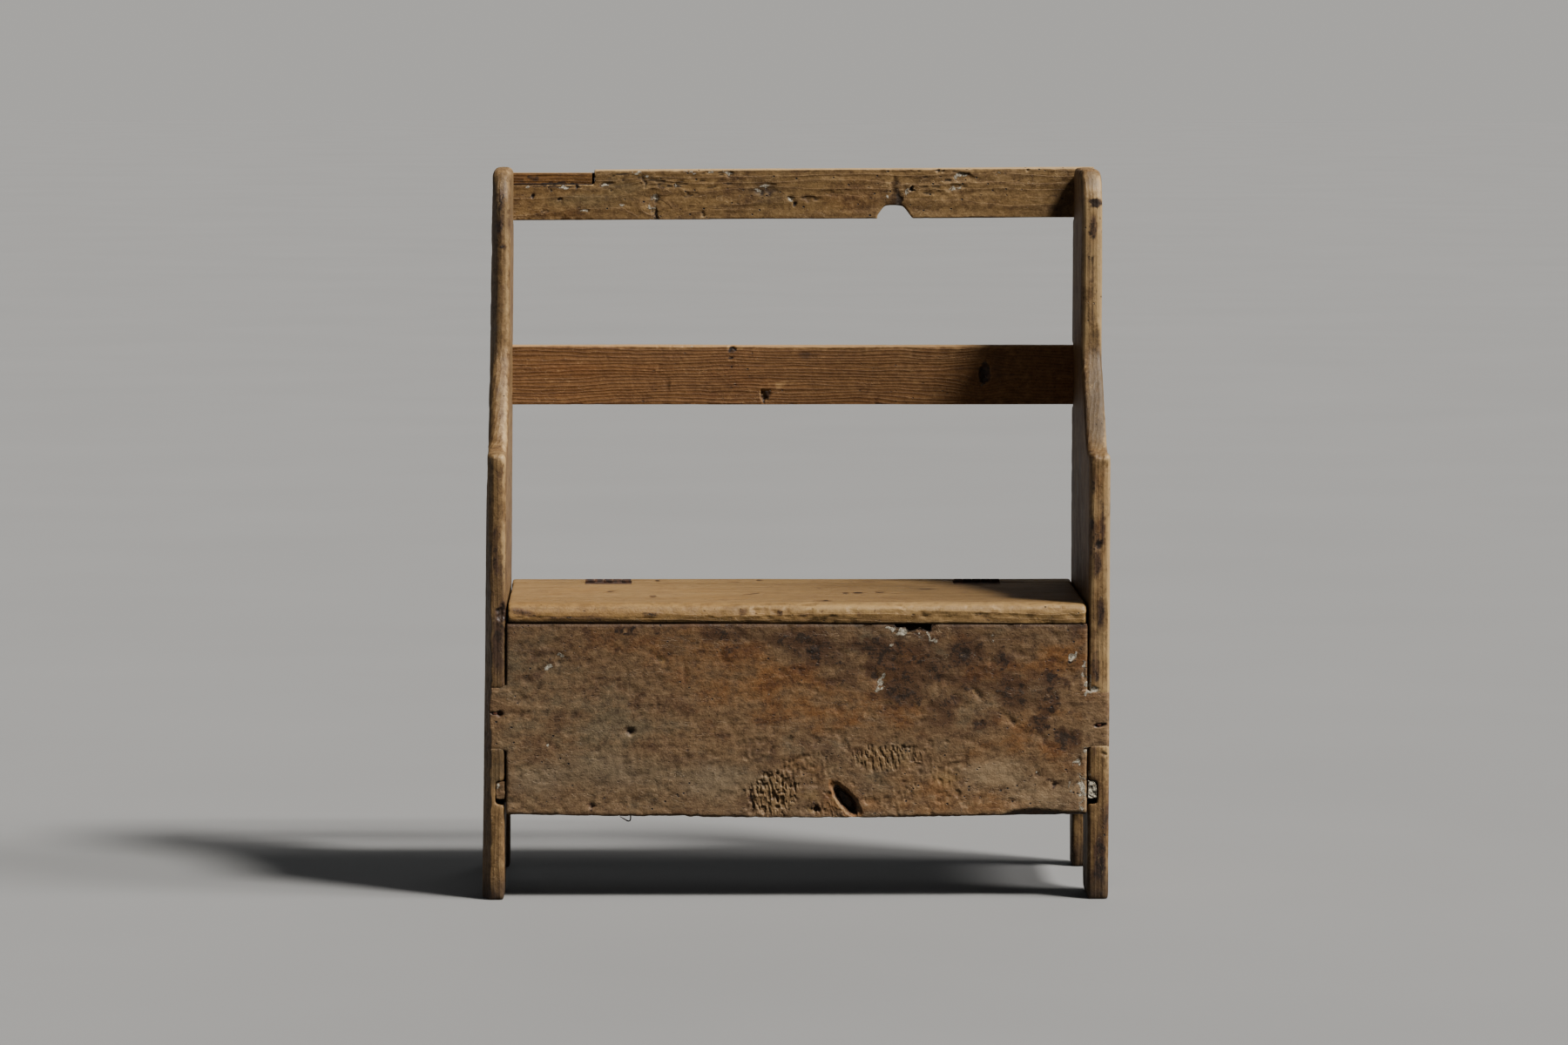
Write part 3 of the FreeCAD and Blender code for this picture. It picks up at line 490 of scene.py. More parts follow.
def aged_wood(name, lie, pith, ring, tints, ring_show=0.5, streak_show=0.4, wander=0.02, rough=0.62,
              relief=0.25, mottle_show=0.6, pitted=0.3, variety=1.0, fibre=1.0, long=1.0, bumps=1.0):
    """Old softwood, bare and handled: growth rings round a pith, fibres, dirt, stains and rubbed arrises.

    pith is where the rings' middle lies in metres, by thickness and width, and ring their spacing in
    millimetres. The tints are plain, late wood, warmer, cooler, rubbed and washed with stain."""
    f = Finish(name)
    plain, late, warm, cool, rubbed, washed = (tint(*each) for each in tints)
    axes = f.parts(f.place)
    along, thick, wide = (axes[k] for k in lie)

    def grain(stretch, across, detail=2.0, rough=0.5, shift=0.0):
        """Noise drawn out along the grain."""
        return f.noise(f.vector(along * stretch + shift, thick * across, wide * across), 1.0, detail, rough)

    sway, swell = grain(3.6, 9.0, 4.0), grain(1.2, 5.0, 1.0, shift=7.0)
    deep = thick - pith[0] + (swell - 0.5) * wander
    across = wide - pith[1] + (sway - 0.5) * wander
    radius = f.sum("SQRT", deep * deep + across * across) + f.read("flow")
    uneven = grain(7.0, 60.0, 3.0)
    year = f.sum("FRACT", radius / (ring * MM) + uneven * 1.8)
    late_wood = f.rise(year, 0.35, 0.85) * f.rise(year, 1.0, 0.9)
    streak = grain(11.0 / long, 95.0, 5.0, 0.66)
    hair = grain(60.0 / long, 560.0, 3.0, 0.6)
    patch = grain(19.0, 27.0, 6.0, 0.68)
    mottle = grain(75.0, 95.0, 5.0, 0.72, shift=3.0)
    cloud = f.noise(f.place, 5.0, 3.0, 0.55)
    grit = f.noise(f.place, 420.0, 3.0, 0.7)
    dent = f.noise(f.place, 150.0, 2.0, 0.6)
    patchy, mottled, gritty, dented = patch - 0.5, mottle - 0.5, grit - 0.5, dent - 0.5

    def ragged(mask, by_patch, by_mottle, low, high):
        """A mask with a broken edge."""
        return f.rise(f.read(mask) + patchy * by_patch + mottled * by_mottle, low, high)

    tone = f.read("tone") + (cloud - 0.5) * 1.6 + patchy * (1.4 * variety) + mottled * (0.7 * variety)
    worn = ragged("worn", 0.8, 1.0, 0.2, 1.0)
    grime = ragged("grime", 0.8, 0.8, 0.25, 1.0)
    raw = ragged("raw", 0.8, 0.9, 0.15, 0.9)
    grey = ragged("grey", 0.9, 0.8, 0.2, 0.85)
    wash = ragged("stain", 1.3, 0.9, 0.05, 0.75)
    soaked = f.read("stain")
    spots = f.rise(soaked * 0.75 + patchy * 1.2 + mottled * 3.4 + gritty * 1.4, 0.5, 0.78)
    pale = f.rise(f.read("pale") * 1.35 + gritty * 1.3 + dented * 1.3, 0.42, 0.56)
    # small dark flecks and worm holes, and a few pale nicks along the grain
    fleck = f.cells(f.vector(along * 75.0, thick * 150.0, wide * 150.0))
    fleck = f.rise(fleck, 0.2, 0.1) * f.rise(patch, 0.5, 0.6)
    worm = f.rise(f.cells(f.vector(along * 70.0, thick * 90.0, wide * 90.0)), 0.13, 0.09)
    worm = worm * f.rise(cloud + dented * 0.5, 0.62 - 0.3 * pitted, 0.66 - 0.3 * pitted)
    nick = f.noise(f.vector(along * 40.0, thick * 120.0, wide * 120.0 + 3.0), 1.0, 2.0) - 0.5
    nick = f.rise(f.sum("ABSOLUTE", nick), 0.014, 0.004) * f.rise(uneven, 0.52, 0.66)
    plaster = f.mix(f.rise(grit, 0.35, 0.6), PLASTER, DIRTY_PLASTER)

    # in places the rubbed, stain, dark and dirt layers below carry painted highlights and painted shade,
    # besides real wear, stains and dirt
    colour = plain
    for share, *over in (
            (late_wood * ring_show, late),
            (f.rise(tone, 0.05, 1.2) * 0.85, warm),
            (f.rise(tone, -0.05, -1.1) * 0.8, cool),
            (f.rise(streak, 0.6, 0.34) * streak_show, (0.42, 0.36, 0.3, 1), "MULTIPLY"),
            (f.rise(mottle, 0.56, 0.34) * mottle_show, (0.42, 0.36, 0.33, 1), "MULTIPLY"),
            (f.rise(mottle, 0.54, 0.72) * mottle_show * 0.6, rubbed),
            (f.rise(patch, 0.48, 0.66) * mottle_show, (0.5, 0.42, 0.4, 1), "MULTIPLY"),
            (f.rise(hair, 0.55, 0.32) * (0.3 * fibre), (0.5, 0.44, 0.38, 1), "MULTIPLY"),
            (f.rise(grit, 0.52, 0.34) * 0.35, (0.5, 0.45, 0.4, 1), "MULTIPLY"),
            (f.rise(grit, 0.56, 0.74) * 0.3, rubbed),
            (worn * 0.7, rubbed),
            (raw * 0.55, BARE_WOOD),
            (grey * 0.6, GREYED_WOOD),
            (wash * f.rise(soaked, -0.1, 0.5) * 0.85, washed),
            (spots * f.rise(soaked, 0.1, 0.5) * 0.85, SOAKED_DIRT),
            (f.read("dark") * 0.9, (0.36, 0.31, 0.26, 1), "MULTIPLY"),
            (grime * 0.8, DIRT_AND_SHADE),
            (fleck * 0.6, FLECK),
            (worm, WORM_HOLE),
            (nick * 0.4, rubbed),
            (pale * 0.9, plaster)):
        colour = f.mix(share, colour, *over)
    roughness = rough + patchy * 0.4 - worn * 0.1 + pale * 0.2 - wash * 0.12 + grime * 0.12
    height = (late_wood * relief + hair * (0.12 * fibre) + streak * (0.3 * fibre) + mottle * 0.85
              + dent * 0.35 + grit * 0.22 + pale * 0.4 - fleck * 0.3 - worm * 1.1 - nick * 0.25)
    return f.shade(colour, roughness, height, relief=bumps)


def rusty_iron(name, *tints):
    """Old iron, browned all over, with rust in patches and its raised parts rubbed bare."""
    f = Finish(name)
    bare, rust, crust = (tint(*each) for each in tints)
    patch = f.noise(f.place, 160.0, 4.0, 0.65)
    grain = f.noise(f.place, 900.0, 3.0, 0.6)
    rubbed = f.rise(f.read("worn") + (patch - 0.5) * 0.8, 0.3, 0.9)
    bloom = f.rise(patch + (grain - 0.5) * 0.4, 0.45, 0.62)
    colour = f.mix(bloom, crust, rust)
    colour = f.mix(rubbed * 0.6, colour, bare)
    colour = f.mix(f.rise(grain, 0.5, 0.3) * 0.5, colour, (0.35, 0.3, 0.28, 1), "MULTIPLY")
    roughness = 0.78 - rubbed * 0.28 + (grain - 0.5) * 0.2
    height = patch * 0.5 + grain * 0.3
    return f.shade(colour, roughness, height, metal=rubbed * 0.6 + 0.15, shine=0.4, relief=0.3)


SIDE_WOOD = aged_wood(
    "side wood, rubbed tan", UPRIGHT, (-0.9, 0.03), 5.5,
    ((124, 97, 61), (92, 67, 39), (124, 84, 44), (106, 92, 66), (178, 149, 104), (66, 46, 37)),
    ring_show=0.4, streak_show=0.3, mottle_show=0.7, variety=1.5, fibre=0.7)
TOP_RAIL_WOOD = aged_wood(
    "top rail wood, ochre brown", LEVEL, (0.26, 0.93), 4.5,
    ((128, 100, 60), (90, 64, 37), (134, 94, 46), (110, 94, 64), (180, 150, 106), (58, 44, 34)),
    ring_show=0.4, streak_show=0.35, mottle_show=0.75, pitted=0.75)
MIDDLE_RAIL_WOOD = aged_wood(
    "middle rail wood, reddish brown", LEVEL, (0.18, 0.45), 4.8,
    ((124, 88, 51), (80, 52, 29), (126, 82, 42), (104, 80, 50), (170, 134, 88), (48, 33, 25)),
    ring_show=0.52, streak_show=0.3, wander=0.03, relief=0.3, mottle_show=0.35, pitted=0.0, long=2.0)
PATCH_WOOD = aged_wood(
    "patch wood, ochre", LEVEL, (0.2, 0.9), 4.0,
    ((118, 82, 38), (88, 58, 27), (128, 88, 38), (96, 70, 36), (160, 122, 70), (46, 29, 19)),
    mottle_show=0.5)
SEAT_WOOD = aged_wood(
    "seat wood, pale and rubbed", FLAT, (0.2, -0.08), 6.0,
    ((138, 110, 69), (116, 88, 50), (140, 106, 57), (122, 100, 65), (158, 129, 84), (84, 60, 40)),
    ring_show=0.4, streak_show=0.5, wander=0.03, rough=0.55, mottle_show=0.35, pitted=0.1, variety=1.4,
    long=2.5)
BOX_WOOD = aged_wood(
    "box wood, stained brown", LEVEL, (-0.02, 0.2), 6.5,
    ((118, 92, 63), (92, 69, 44), (130, 86, 42), (104, 92, 70), (160, 134, 100), (76, 52, 34)),
    ring_show=0.08, streak_show=0.12, wander=0.05, relief=0.06, mottle_show=0.85, variety=2.2, fibre=0.3,
    bumps=1.5)
FLOOR_WOOD = aged_wood(
    "box floor wood, dusty", FLAT, (0.3, 0.02), 6.0,
    ((120, 99, 70), (90, 68, 44), (116, 84, 52), (102, 90, 70), (148, 128, 98), (66, 50, 38)))
FILLER_WOOD = aged_wood(
    "slot filler, limewashed", LEVEL, (0.3, 0.1), 4.0,
    ((140, 126, 102), (106, 88, 66), (130, 108, 80), (120, 112, 92), (170, 158, 134), (70, 56, 44)))
HINGE_IRON = rusty_iron("hinge iron, red brown", (110, 92, 76), (82, 52, 32), (42, 29, 21))
NAIL_IRON = rusty_iron("nail iron, dark", (110, 100, 92), (92, 52, 32), (36, 28, 25))


# ------------------------------------------------------------------ the two sides
TAB_EDGES = ((-1, 0.2940, 0.2100), (1, 0.2860, 0.2130))     # side, and the heights of the tab's edges
ROW_HEIGHT, ROW_COUNT = 3 * MM, 341
ARRIS_RADIUS = 5.5 * MM


def near_tab(p):
    """1 round the front board's tabs, whose joints are tight and hardly show."""
    x, y, z = p.T
    return (rise(np.abs(x), 0.390, 0.396) * rise(y, -0.155, -0.162)
            * rise(z, 0.190, 0.200) * rise(z, 0.312, 0.300))


def close_joint(board, out):
    """Moves the wood at the tabs' level edges up against its neighbour: out is 1 for tabs, -1 for notches."""
    x, y, z = board.co.T
    held = (np.abs(x) > 0.388) & (y < -0.150)
    for side, upper, lower in TAB_EDGES:
        for edge, way in ((upper, 1), (lower, -1)):
            near = rise(np.abs(z - edge), 3.6 * MM, 1.8 * MM) * held * (np.sign(x) == side)
            z = z + near * way * out * 1.9 * MM
    board.co[:, 2] = z


def front_of(p):
    """How far each point lies behind the front edge at its own height."""
    rows, line = np.arange(ROW_COUNT), np.full(ROW_COUNT, 1.0)
    np.minimum.at(line, np.clip((p[:, 2] / ROW_HEIGHT).astype(int), 0, ROW_COUNT - 1), p[:, 1])
    known = line < 0.9
    line = np.interp(rows, rows[known], line[known])
    return p[:, 1] - np.interp(p[:, 2], (rows + 0.5) * ROW_HEIGHT, line)


def half_round(board):
    """Works the left side's upper front edge round, most from the outside."""
    x, _, z = board.co.T
    outer = np.interp(z, (0.0, 1.0), (-OUTER_FACE, -0.4207))
    across = np.clip(2 * (x - outer) / (-0.3935 - outer) - 1, -1, 1)
    drop = np.where(across < 0, 17, 5) * MM * (1 - np.sqrt(np.clip(1 - np.abs(across) ** 2.4, 0, 1)))
    board.co[:, 1] += drop * rise(z, 0.40, 0.52) * rise(front_of(board.co), 0.026, 0.0) * rise(z, 1.0, 0.97)


def round_arris(board, inward, behind, share):
    """Rounds the right front arris; inward and behind say how far each point lies from its two faces."""
    a, b = ARRIS_RADIUS - inward, ARRIS_RADIUS - behind
    reach = np.hypot(a, b)
    held = (a > 0) * (b > 0) * (reach > ARRIS_RADIUS) * share * (1 - ARRIS_RADIUS / np.maximum(reach, 1e-6))
    board.co[:, 0] -= a * held
    board.co[:, 1] += b * held


def waney_arris(board):
    """The left outer front arris, waney and dark: wide at the foot and gone above the seat."""
    p = board.co.copy()
    x, y, z = p.T
    width = np.interp(z, (0.0, 0.25, 0.4, 0.5, 0.58), (10.5, 10.0, 6.5, 4.0, 0.5)) * MM
    width *= 1 + 0.3 * unevenness(p, (1000, 1000, 22), 21)
    depth = 30 * MM
    outer = np.interp(z, (0.0, 1.0), (-OUTER_FACE, -0.4175))
    over = (width * depth - depth * (x - outer) - width * (y - FRONT)) / np.hypot(width, depth)
    rough = (0.8 + 0.8 * unevenness(p, (4, 7, 18), 22)) * MM
    cut = np.clip(over + rough * rise(over, -0.002, 0.001), 0, None)
    slant = np.stack((-depth * np.ones(len(p)), -width, np.zeros(len(p))), 1)
    slant /= np.linalg.norm(slant, axis=1)[:, None]
    board.co = board.co - cut[:, None] * slant
    board.ease(1, rise(cut, 0, 0.001))
    edge = rise(over, -0.0006, 0.001)
    board.add(dark=0.5 * edge, worn=-0.9 * edge)


def worn_side(node, seed, upper_rounds):
    """What both sides have: planed waves, eased arrises, scuffed feet."""
    board = Board(node, 3.0, [lambda p: (p[:, 1] < -0.158) & (p[:, 2] > 0.11) & (p[:, 2] < 0.415)])
    p, arris = board.start, board.arris
    _, y, z = p.T
    joint = near_tab(p)
    free = 1 - joint
    loose = 0.5 + 0.5 * unevenness(p, 40, seed, 2)
    board.ease(5, arris * (0.25 + 0.75 * loose) * free)
    upper = rise(z, 0.42, 0.5) * rise(y, 0.15, 0.05)
    board.ease(upper_rounds, np.clip(board.spread(arris, 6) * 3, 0, 1) * upper * (0.6 + 0.4 * loose))
    board.ease(10, arris * rise(z, 0.955, 0.985))
    board.wave(0.35, (9, 16, 150), seed + 1, free)
    board.dent(1.6, 14, seed + 2, arris * free, 0.45)
    close_joint(board, -1)
    board.sink(rise(z, 0.03, 0.0) * arris * (1.2 + 1.2 * unevenness(p, 9, seed + 3)))
    board.add(grime=0.55 * rise(z, 0.07, 0.0) + 0.25 * rise(z, 0.42, 0.33) - joint,
              worn=0.5 * arris * free * rise(z, 0.2, 0.5),
              tone=0.25 * unevenness(p, 120, seed + 5, 2),
              stain=0.3 * rise(unevenness(p, (60, 60, 130), seed + 6), 0.1, 0.8))
    return board


def left_side():
    board = worn_side("left_side", 11, 12)
    # its upper part is a little thicker and bowed outwards
    x, _, z = board.co.T
    board.co[:, 0] -= 3.2 * MM * rise(z, 0.2, 0.95) * np.clip((-0.3945 - x) / 0.026, 0, 1)
    board.low[0] = CAD_BOX[0][0]
    half_round(board)
    p = board.co.copy()
    # painted shade: the left part of the half-round front edge, which turns away from the light, is darkened
    shade = rise(p[:, 2], 0.42, 0.5) * rise(p[:, 0], -0.405, -0.423) * rise(front_of(p), 0.03, 0.01)
    board.add(dark=0.4 * shade * (0.7 + 0.5 * unevenness(p, (20, 20, 60), 15)))
    board.add(dark=0.42 * rise(p[:, 2], 0.80, 0.9) * board.facing(FRONTWARD))
    waney_arris(board)
    board.mark("depth", [(576, 703, 6, 10, 5, 8), (570, 520, 10, 5, 1.2), (579, 905, 3, 14, 1)])
    board.mark("stain", [
        (573, 262, 4, 9, 0.9), (578, 283, 5, 4, 0.8), (571, 300, 3, 5, 0.5), (568, 630, 5, 40, 0.6),
        (577, 703, 8, 13, 1.2), (572, 740, 8, 40, 0.5), (566, 1028, 12, 8, 0.6), (572, 560, 4, 30, 0.45),
        (575, 230, 4, 14, 0.4), (570, 450, 4, 30, 0.4)])
    board.mark("grey", [(574, 460, 8, 60, 0.5), (576, 200, 10, 12, 0.35), (570, 980, 10, 60, 0.35)])
    # darker and cooler below the seat, and darker just above it
    z, front = board.co[:, 2], board.facing(FRONTWARD)
    lower = rise(z, 0.405, 0.385) * rise(z, 0.13, 0.19) * front
    board.add(dark=0.42 * lower + 0.4 * rise(z, 0.58, 0.45) * rise(z, 0.38, 0.42), tone=-0.5 * lower)
    # the narrow rows at x 579 to 581 are a painted highlight along the post's right edge, which faces the light
    board.mark("worn", [
        (577, 704, 9, 15, -1.5), (581, 300, 4, 110, 0.5), (580, 500, 4, 80, 0.5), (579, 640, 4, 50, 0.6),
        (574, 980, 6, 45, 0.3)])
    board.knots(UPRIGHT, ((-0.431, -0.06, 0.33, 13), (-0.424, 0.09, 0.62, 10), (-0.399, 0.02, 0.53, 9)))
    board.finish("left_side_board", SIDE_WOOD, "frame", "side_wood", 1 - near_tab(board.co))


def right_side():
    board = worn_side("right_side", 31, 5)
    p = board.co.copy()
    x, _, z = p.T
    round_arris(board, np.abs(board.co[:, 0] - OUTER_FACE), front_of(board.co),
                1 - rise(z, 0.192, 0.200) * rise(z, 0.300, 0.292))
    patchy = 0.65 + 0.5 * unevenness(p, (30, 30, 50), 37)
    rubbed = board.facing(FRONTWARD) * rise(z, 0.18, 0.3) * patchy
    # painted highlight: the rounded outer front arris is lightened where the light from the right grazes it
    outer_arris = rise(x, 0.4275, 0.4315) * rise(front_of(p), 0.012, 0.004) * rise(z, 0.12, 0.2)
    below = rise(z, 0.62, 0.58)
    board.add(worn=(0.45 + 0.2 * rise(z, 0.58, 0.64)) * rubbed + 0.8 * outer_arris
              + 0.25 * rubbed * rise(z, 0.60, 0.56),
              # painted shade: the inner face, which turns away from the light, is darkened
              dark=0.6 * board.facing((-1, 0, 0)),
              stain=0.25 * rise(unevenness(p, (22, 22, 45), 38), 0.1, 0.7) * below,
              tone=0.6 * rubbed * below)
    board.mark("dark", [
        (1259, 458, 20, 88, 0.9), (1262, 705, 9, 50, 0.4), (1262, 990, 12, 70, 0.5), (1240, 560, 10, 120, 0.3),
        (1240, 300, 5, 110, 0.5), (1255, 232, 12, 5, 0.6), (1246, 215, 5, 22, 0.4)])
    board.mark("tone", [(1255, 265, 10, 26, 0.9), (1257, 335, 10, 50, 0.3)])
    board.mark("depth", [
        (1256, 793, 7, 4, 1.6), (1268, 868, 5, 3, 1.5, 30), (1262, 626, 4, 5, 2, 20),
        (1264, 522, 7, 5, 1.8, 15), (1270, 538, 4, 8, 1.4), (1249, 904, 2, 22, 1.6), (1259, 440, 6, 20, 0.6),
        (1256, 232, 7, 3, 0.8)])
    board.mark("stain", [
        (1257, 232, 9, 5, 1), (1255, 260, 6, 16, 0.6), (1255, 320, 2.5, 34, 0.35), (1254, 368, 3, 24, 0.35),
        (1250, 300, 3, 20, 0.3), (1264, 705, 5, 22, 0.9), (1259, 650, 5, 20, 0.5), (1258, 765, 7, 26, 0.6),
        (1262, 990, 8, 36, 0.7), (1262, 625, 5, 4, 0.8), (1266, 600, 3, 30, 0.5), (1258, 1026, 12, 7, 0.5),
        (1256, 555, 5, 20, 0.4), (1256, 860, 5, 20, 0.4)])
    board.mark("grey", [(1259, 458, 18, 80, 1), (1254, 206, 9, 18, 0.8), (1257, 880, 6, 30, 0.3)])
    board.mark("pale", [(1256, 793, 8, 5, 0.75), (1251, 782, 2, 14, 0.6), (1250, 885, 2, 10, 0.5)])
    # the narrow rows along the outer rim, x 1264 to 1271, are a painted highlight from the light on the right;
    # the other rows are rubbed wear
    board.mark("worn", [
        (1259, 458, 22, 92, -1.4), (1264, 800, 10, 130, 0.35), (1258, 320, 8, 70, 0.3), (1264, 300, 3, 90, 0.7),
        (1269, 500, 3, 60, 0.7), (1271, 640, 2.5, 80, 0.6), (1269, 850, 3, 90, 0.6), (1270, 990, 3, 40, 0.5),
        (1262, 524, 6, 8, 0.5)])
    board.mark("tone", [(1258, 300, 12, 80, 0.5), (1262, 620, 12, 90, 0.6), (1260, 770, 12, 60, 0.6)])
    board.knots(UPRIGHT, ((0.432, -0.02, 0.25, 12), (0.432, 0.11, 0.78, 9), (0.402, 0.06, 0.55, 11)))
    board.finish("right_side_board", SIDE_WOOD, "frame", "side_wood", 1 - near_tab(board.co))


# ------------------------------------------------------------------ the rails
def worn_rail(node, seed):
    """What both rails have: planed waves, eased and dented arrises, a rubbed top."""
    board = Board(node, 1.7)
    p = board.start
    board.ease(3, board.arris * (0.4 + 0.6 * unevenness(p, 30, seed, 2)))
    board.wave(0.3, (140, 12, 8), seed + 1)
    board.dent(1.2, (16, 9, 9), seed + 2, board.arris, 0.5)
    upper_half = p[:, 2] > (board.low[2] + board.high[2]) / 2
    board.add(worn=0.9 * board.facing(UPWARD, 0.35) + 0.45 * board.arris * upper_half
              + 0.16 + 0.16 * rise(p[:, 0], -0.1, 0.3),
              tone=0.3 * unevenness(p, (90, 40, 20), seed + 4))
    return board


def top_rail():
    board = worn_rail("top_rail", 41)
    p = board.co.copy()
    z, across = p[:, 2], in_photo(p)[:, 0]
    # the notch that wear has cut in its lower edge is arched, its left flank leans and its corners are eased
    notch = 1026
    low_edge = rise(z, 0.952, 0.944)
    board.co[:, 2] += 0.9 * MM * np.clip(1 - ((across - notch + 1) / 9) ** 2, 0, 1) * low_edge
    flank = rise(across, 999, 1013) * rise(across, notch, 1020) * rise(z, 0.923, 0.931)
    board.co[:, 0] -= 4.4 * MM * flank * rise(z, 0.954, 0.942)
    board.ease(5, rise(np.abs(across - notch), 22, 17) * low_edge * rise(z, 0.926, 0.932))
    decay = rise(unevenness(p, (14, 9, 4.5), 46), 0.3, 0.9) * rise(unevenness(p, 70, 47, 2), -0.2, 0.6)
    board.sink(0.9 * decay * board.facing(FRONTWARD))
    board.add(grime=0.3 * decay * board.facing(FRONTWARD))
    board.mark("depth", [
        (1047, 216, 3, 3, 6), (1041, 221, 3, 6, 1.2, 20), (1075, 195.5, 3, 2, 2), (1081, 195.5, 3, 2, 2),
        (611, 225.6, 2, 3, 3), (632, 218, 2, 2, 2.5), (661.6, 215.4, 2, 2, 2.5), (642, 227.6, 1.8, 2, 2.5),
        (748, 230, 13, 14, 1.4, 20), (753, 228, 6, 7, 1.4), (752, 246, 3, 9, 2.4, -10),
        (740, 209, 2, 10, 1.5, -15), (679.5, 204, 2, 5, 5), (880, 216, 14, 8, 1.5), (872, 221, 6, 3, 1.2),
        (912, 233, 3, 2, 3), (907, 228, 6, 3, 1.5, 10), (930, 228, 14, 4, 1.3), (776, 214, 4, 3, 1.5),
        (813, 198, 10, 3, 1.4), (837, 199, 6, 3, 1.4), (1105, 203, 16, 5, 1.4, 5), (1098, 214, 14, 4, 1.4, -5),
        (808, 246, 2, 4, 1.5), (1033, 230, 4, 9, 2), (1026, 215, 4, 14, 1, 8), (716, 236, 10, 3, 0.8),
        (672, 242, 8, 3, 0.8), (627, 241, 6, 1.5, 1, -5), (1146, 200, 8, 3, 0.8), (1180, 196, 3, 2, 2),
        (960, 222, 20, 5, 0.8), (634, 250, 50, 4, 0.5)])
    # the row at x 1220 is a painted shadow, cast by the right side onto the rail's right end
    board.mark("dark", [
        (1030, 238, 13, 9, 1.3), (1031, 228, 8, 14, 1.3), (1029, 216, 5, 16, 0.9), (1019, 227, 9, 12, 0.5, -30),
        (1046, 216, 9, 4, 0.4), (1038, 243, 4, 8, 0.8, -35), (1058, 205, 18, 7, 0.6, -15),
        (1220, 225, 18, 34, 0.8, 10), (930, 229, 26, 8, 0.35), (880, 220, 24, 9, 0.3)])
    board.mark("stain", [
        (1047, 216, 4, 4, 1.4), (1075, 195, 4, 2, 1.2), (1081, 195, 3, 2, 1.2), (611, 225.6, 3, 4, 1.4),
        (632, 218, 2.5, 3, 1.4), (661.6, 215.4, 3, 3, 1.4), (642, 227.6, 2.5, 3, 1.4), (912, 233, 4, 3, 1.4),
        (753, 247, 4, 7, 1), (1100, 215, 18, 6, 0.3, -5), (880, 220, 22, 7, 0.3), (930, 229, 22, 7, 0.3),
        (679.5, 204, 3, 6, 1.3), (640, 213.5, 48, 1.6, 0.9), (780, 214, 6, 3, 0.6)])
    board.mark("pale", [
        (604, 215.6, 4, 2, 0.8), (648, 214.5, 9, 2, 0.65), (670, 242.5, 6, 2, 0.8), (694, 212, 7, 2, 0.75),
        (733, 199, 10, 2.5, 0.7, 5), (742, 203, 4, 2, 0.6), (714, 236, 6, 2, 0.6), (752, 226, 7, 6, 0.62),
        (748, 240, 6, 6, 0.45), (793, 198, 9, 2, 0.75), (816, 198, 6, 2, 0.65), (836, 199, 6, 2, 0.7),
        (878, 213, 10, 3, 0.6), (870, 219, 7, 3, 0.55), (1042, 220, 2.5, 6, 0.85, 10),
        (1103, 202, 12, 4, 0.65, 5), (1096, 216, 10, 3, 0.55), (776, 213, 3, 3, 0.6), (633, 219, 4, 2, 0.5),
        (907, 229, 6, 2, 0.55, 20), (1020, 226, 4, 3, 0.5), (627, 241, 5, 1.5, 0.4), (1145, 200, 6, 2, 0.4)])
    board.mark("grime", [
        (1031, 235, 9, 9, 1.1), (1031, 225, 5, 11, 0.7), (900, 222, 60, 20, 0.25), (640, 222, 50, 12, 0.25),
        (760, 222, 30, 25, 0.15)])
    board.mark("tone", [
        (640, 246, 60, 8, 0.6), (980, 225, 60, 25, 0.4), (880, 225, 40, 25, -0.5), (1150, 225, 60, 25, 0.25),
        (700, 225, 60, 20, -0.3)])
    board.knots(LEVEL, ((-0.191, 0.167, 0.952, 9),), 0.0, 0.25)
    board.knots(LEVEL, ((0.16, 0.19, 0.955, 8),))
    board.finish("top_rail_board", TOP_RAIL_WOOD, "frame", "rail_wood")


def middle_rail():
    board = worn_rail("middle_rail", 51)
    board.mark("depth", [
        (1131, 430, 6, 12, 3.5, 4), (877, 456, 2.5, 8, 5, -4), (881, 452, 4, 6, 1.5), (840, 400, 6, 3, 2),
        (839, 411, 4, 2, 1.2), (795, 396, 3, 2, 1), (765, 442, 4, 12, 0.8, 10), (757, 425, 3, 9, 0.6),
        (754, 397, 1.5, 3, 1), (772, 397, 1.5, 3, 1), (786, 397, 1.5, 3, 1), (1030, 400, 40, 2, 0.5),
        (1188, 397, 10, 2, 0.8)])
    board.mark("stain", [
        (1131, 428, 7, 15, 1.5, 4), (878, 456, 4, 9, 1.2, -4), (882, 452, 6, 7, 0.7), (840, 401, 7, 3, 1),
        (839, 411, 5, 2, 0.9), (925, 408, 12, 8, 0.5), (765, 445, 10, 12, 0.4), (1070, 424, 8, 5, 0.3),
        (1145, 425, 10, 30, 0.3)])
    board.mark("pale", [(794, 397, 3, 1.6, 0.8), (1127, 441, 3, 4, 0.55, 30)])
    board.mark("tone", [(690, 430, 120, 40, 0.55), (1140, 430, 30, 30, 0.4), (950, 400, 100, 8, -0.4)])
    board.mark("worn", [(920, 398, 300, 3, 0.5), (900, 440, 20, 3, 0.5, -10), (893, 443, 8, 3, 0.4, -60)])
    board.knots(LEVEL, ((0.272, 0.167, 0.703, 10),), 0.0, 0.2)
    board.knots(LEVEL, ((-0.21, 0.19, 0.70, 8),))
    board.finish("middle_rail_board", MIDDLE_RAIL_WOOD, "frame", "rail_wood")


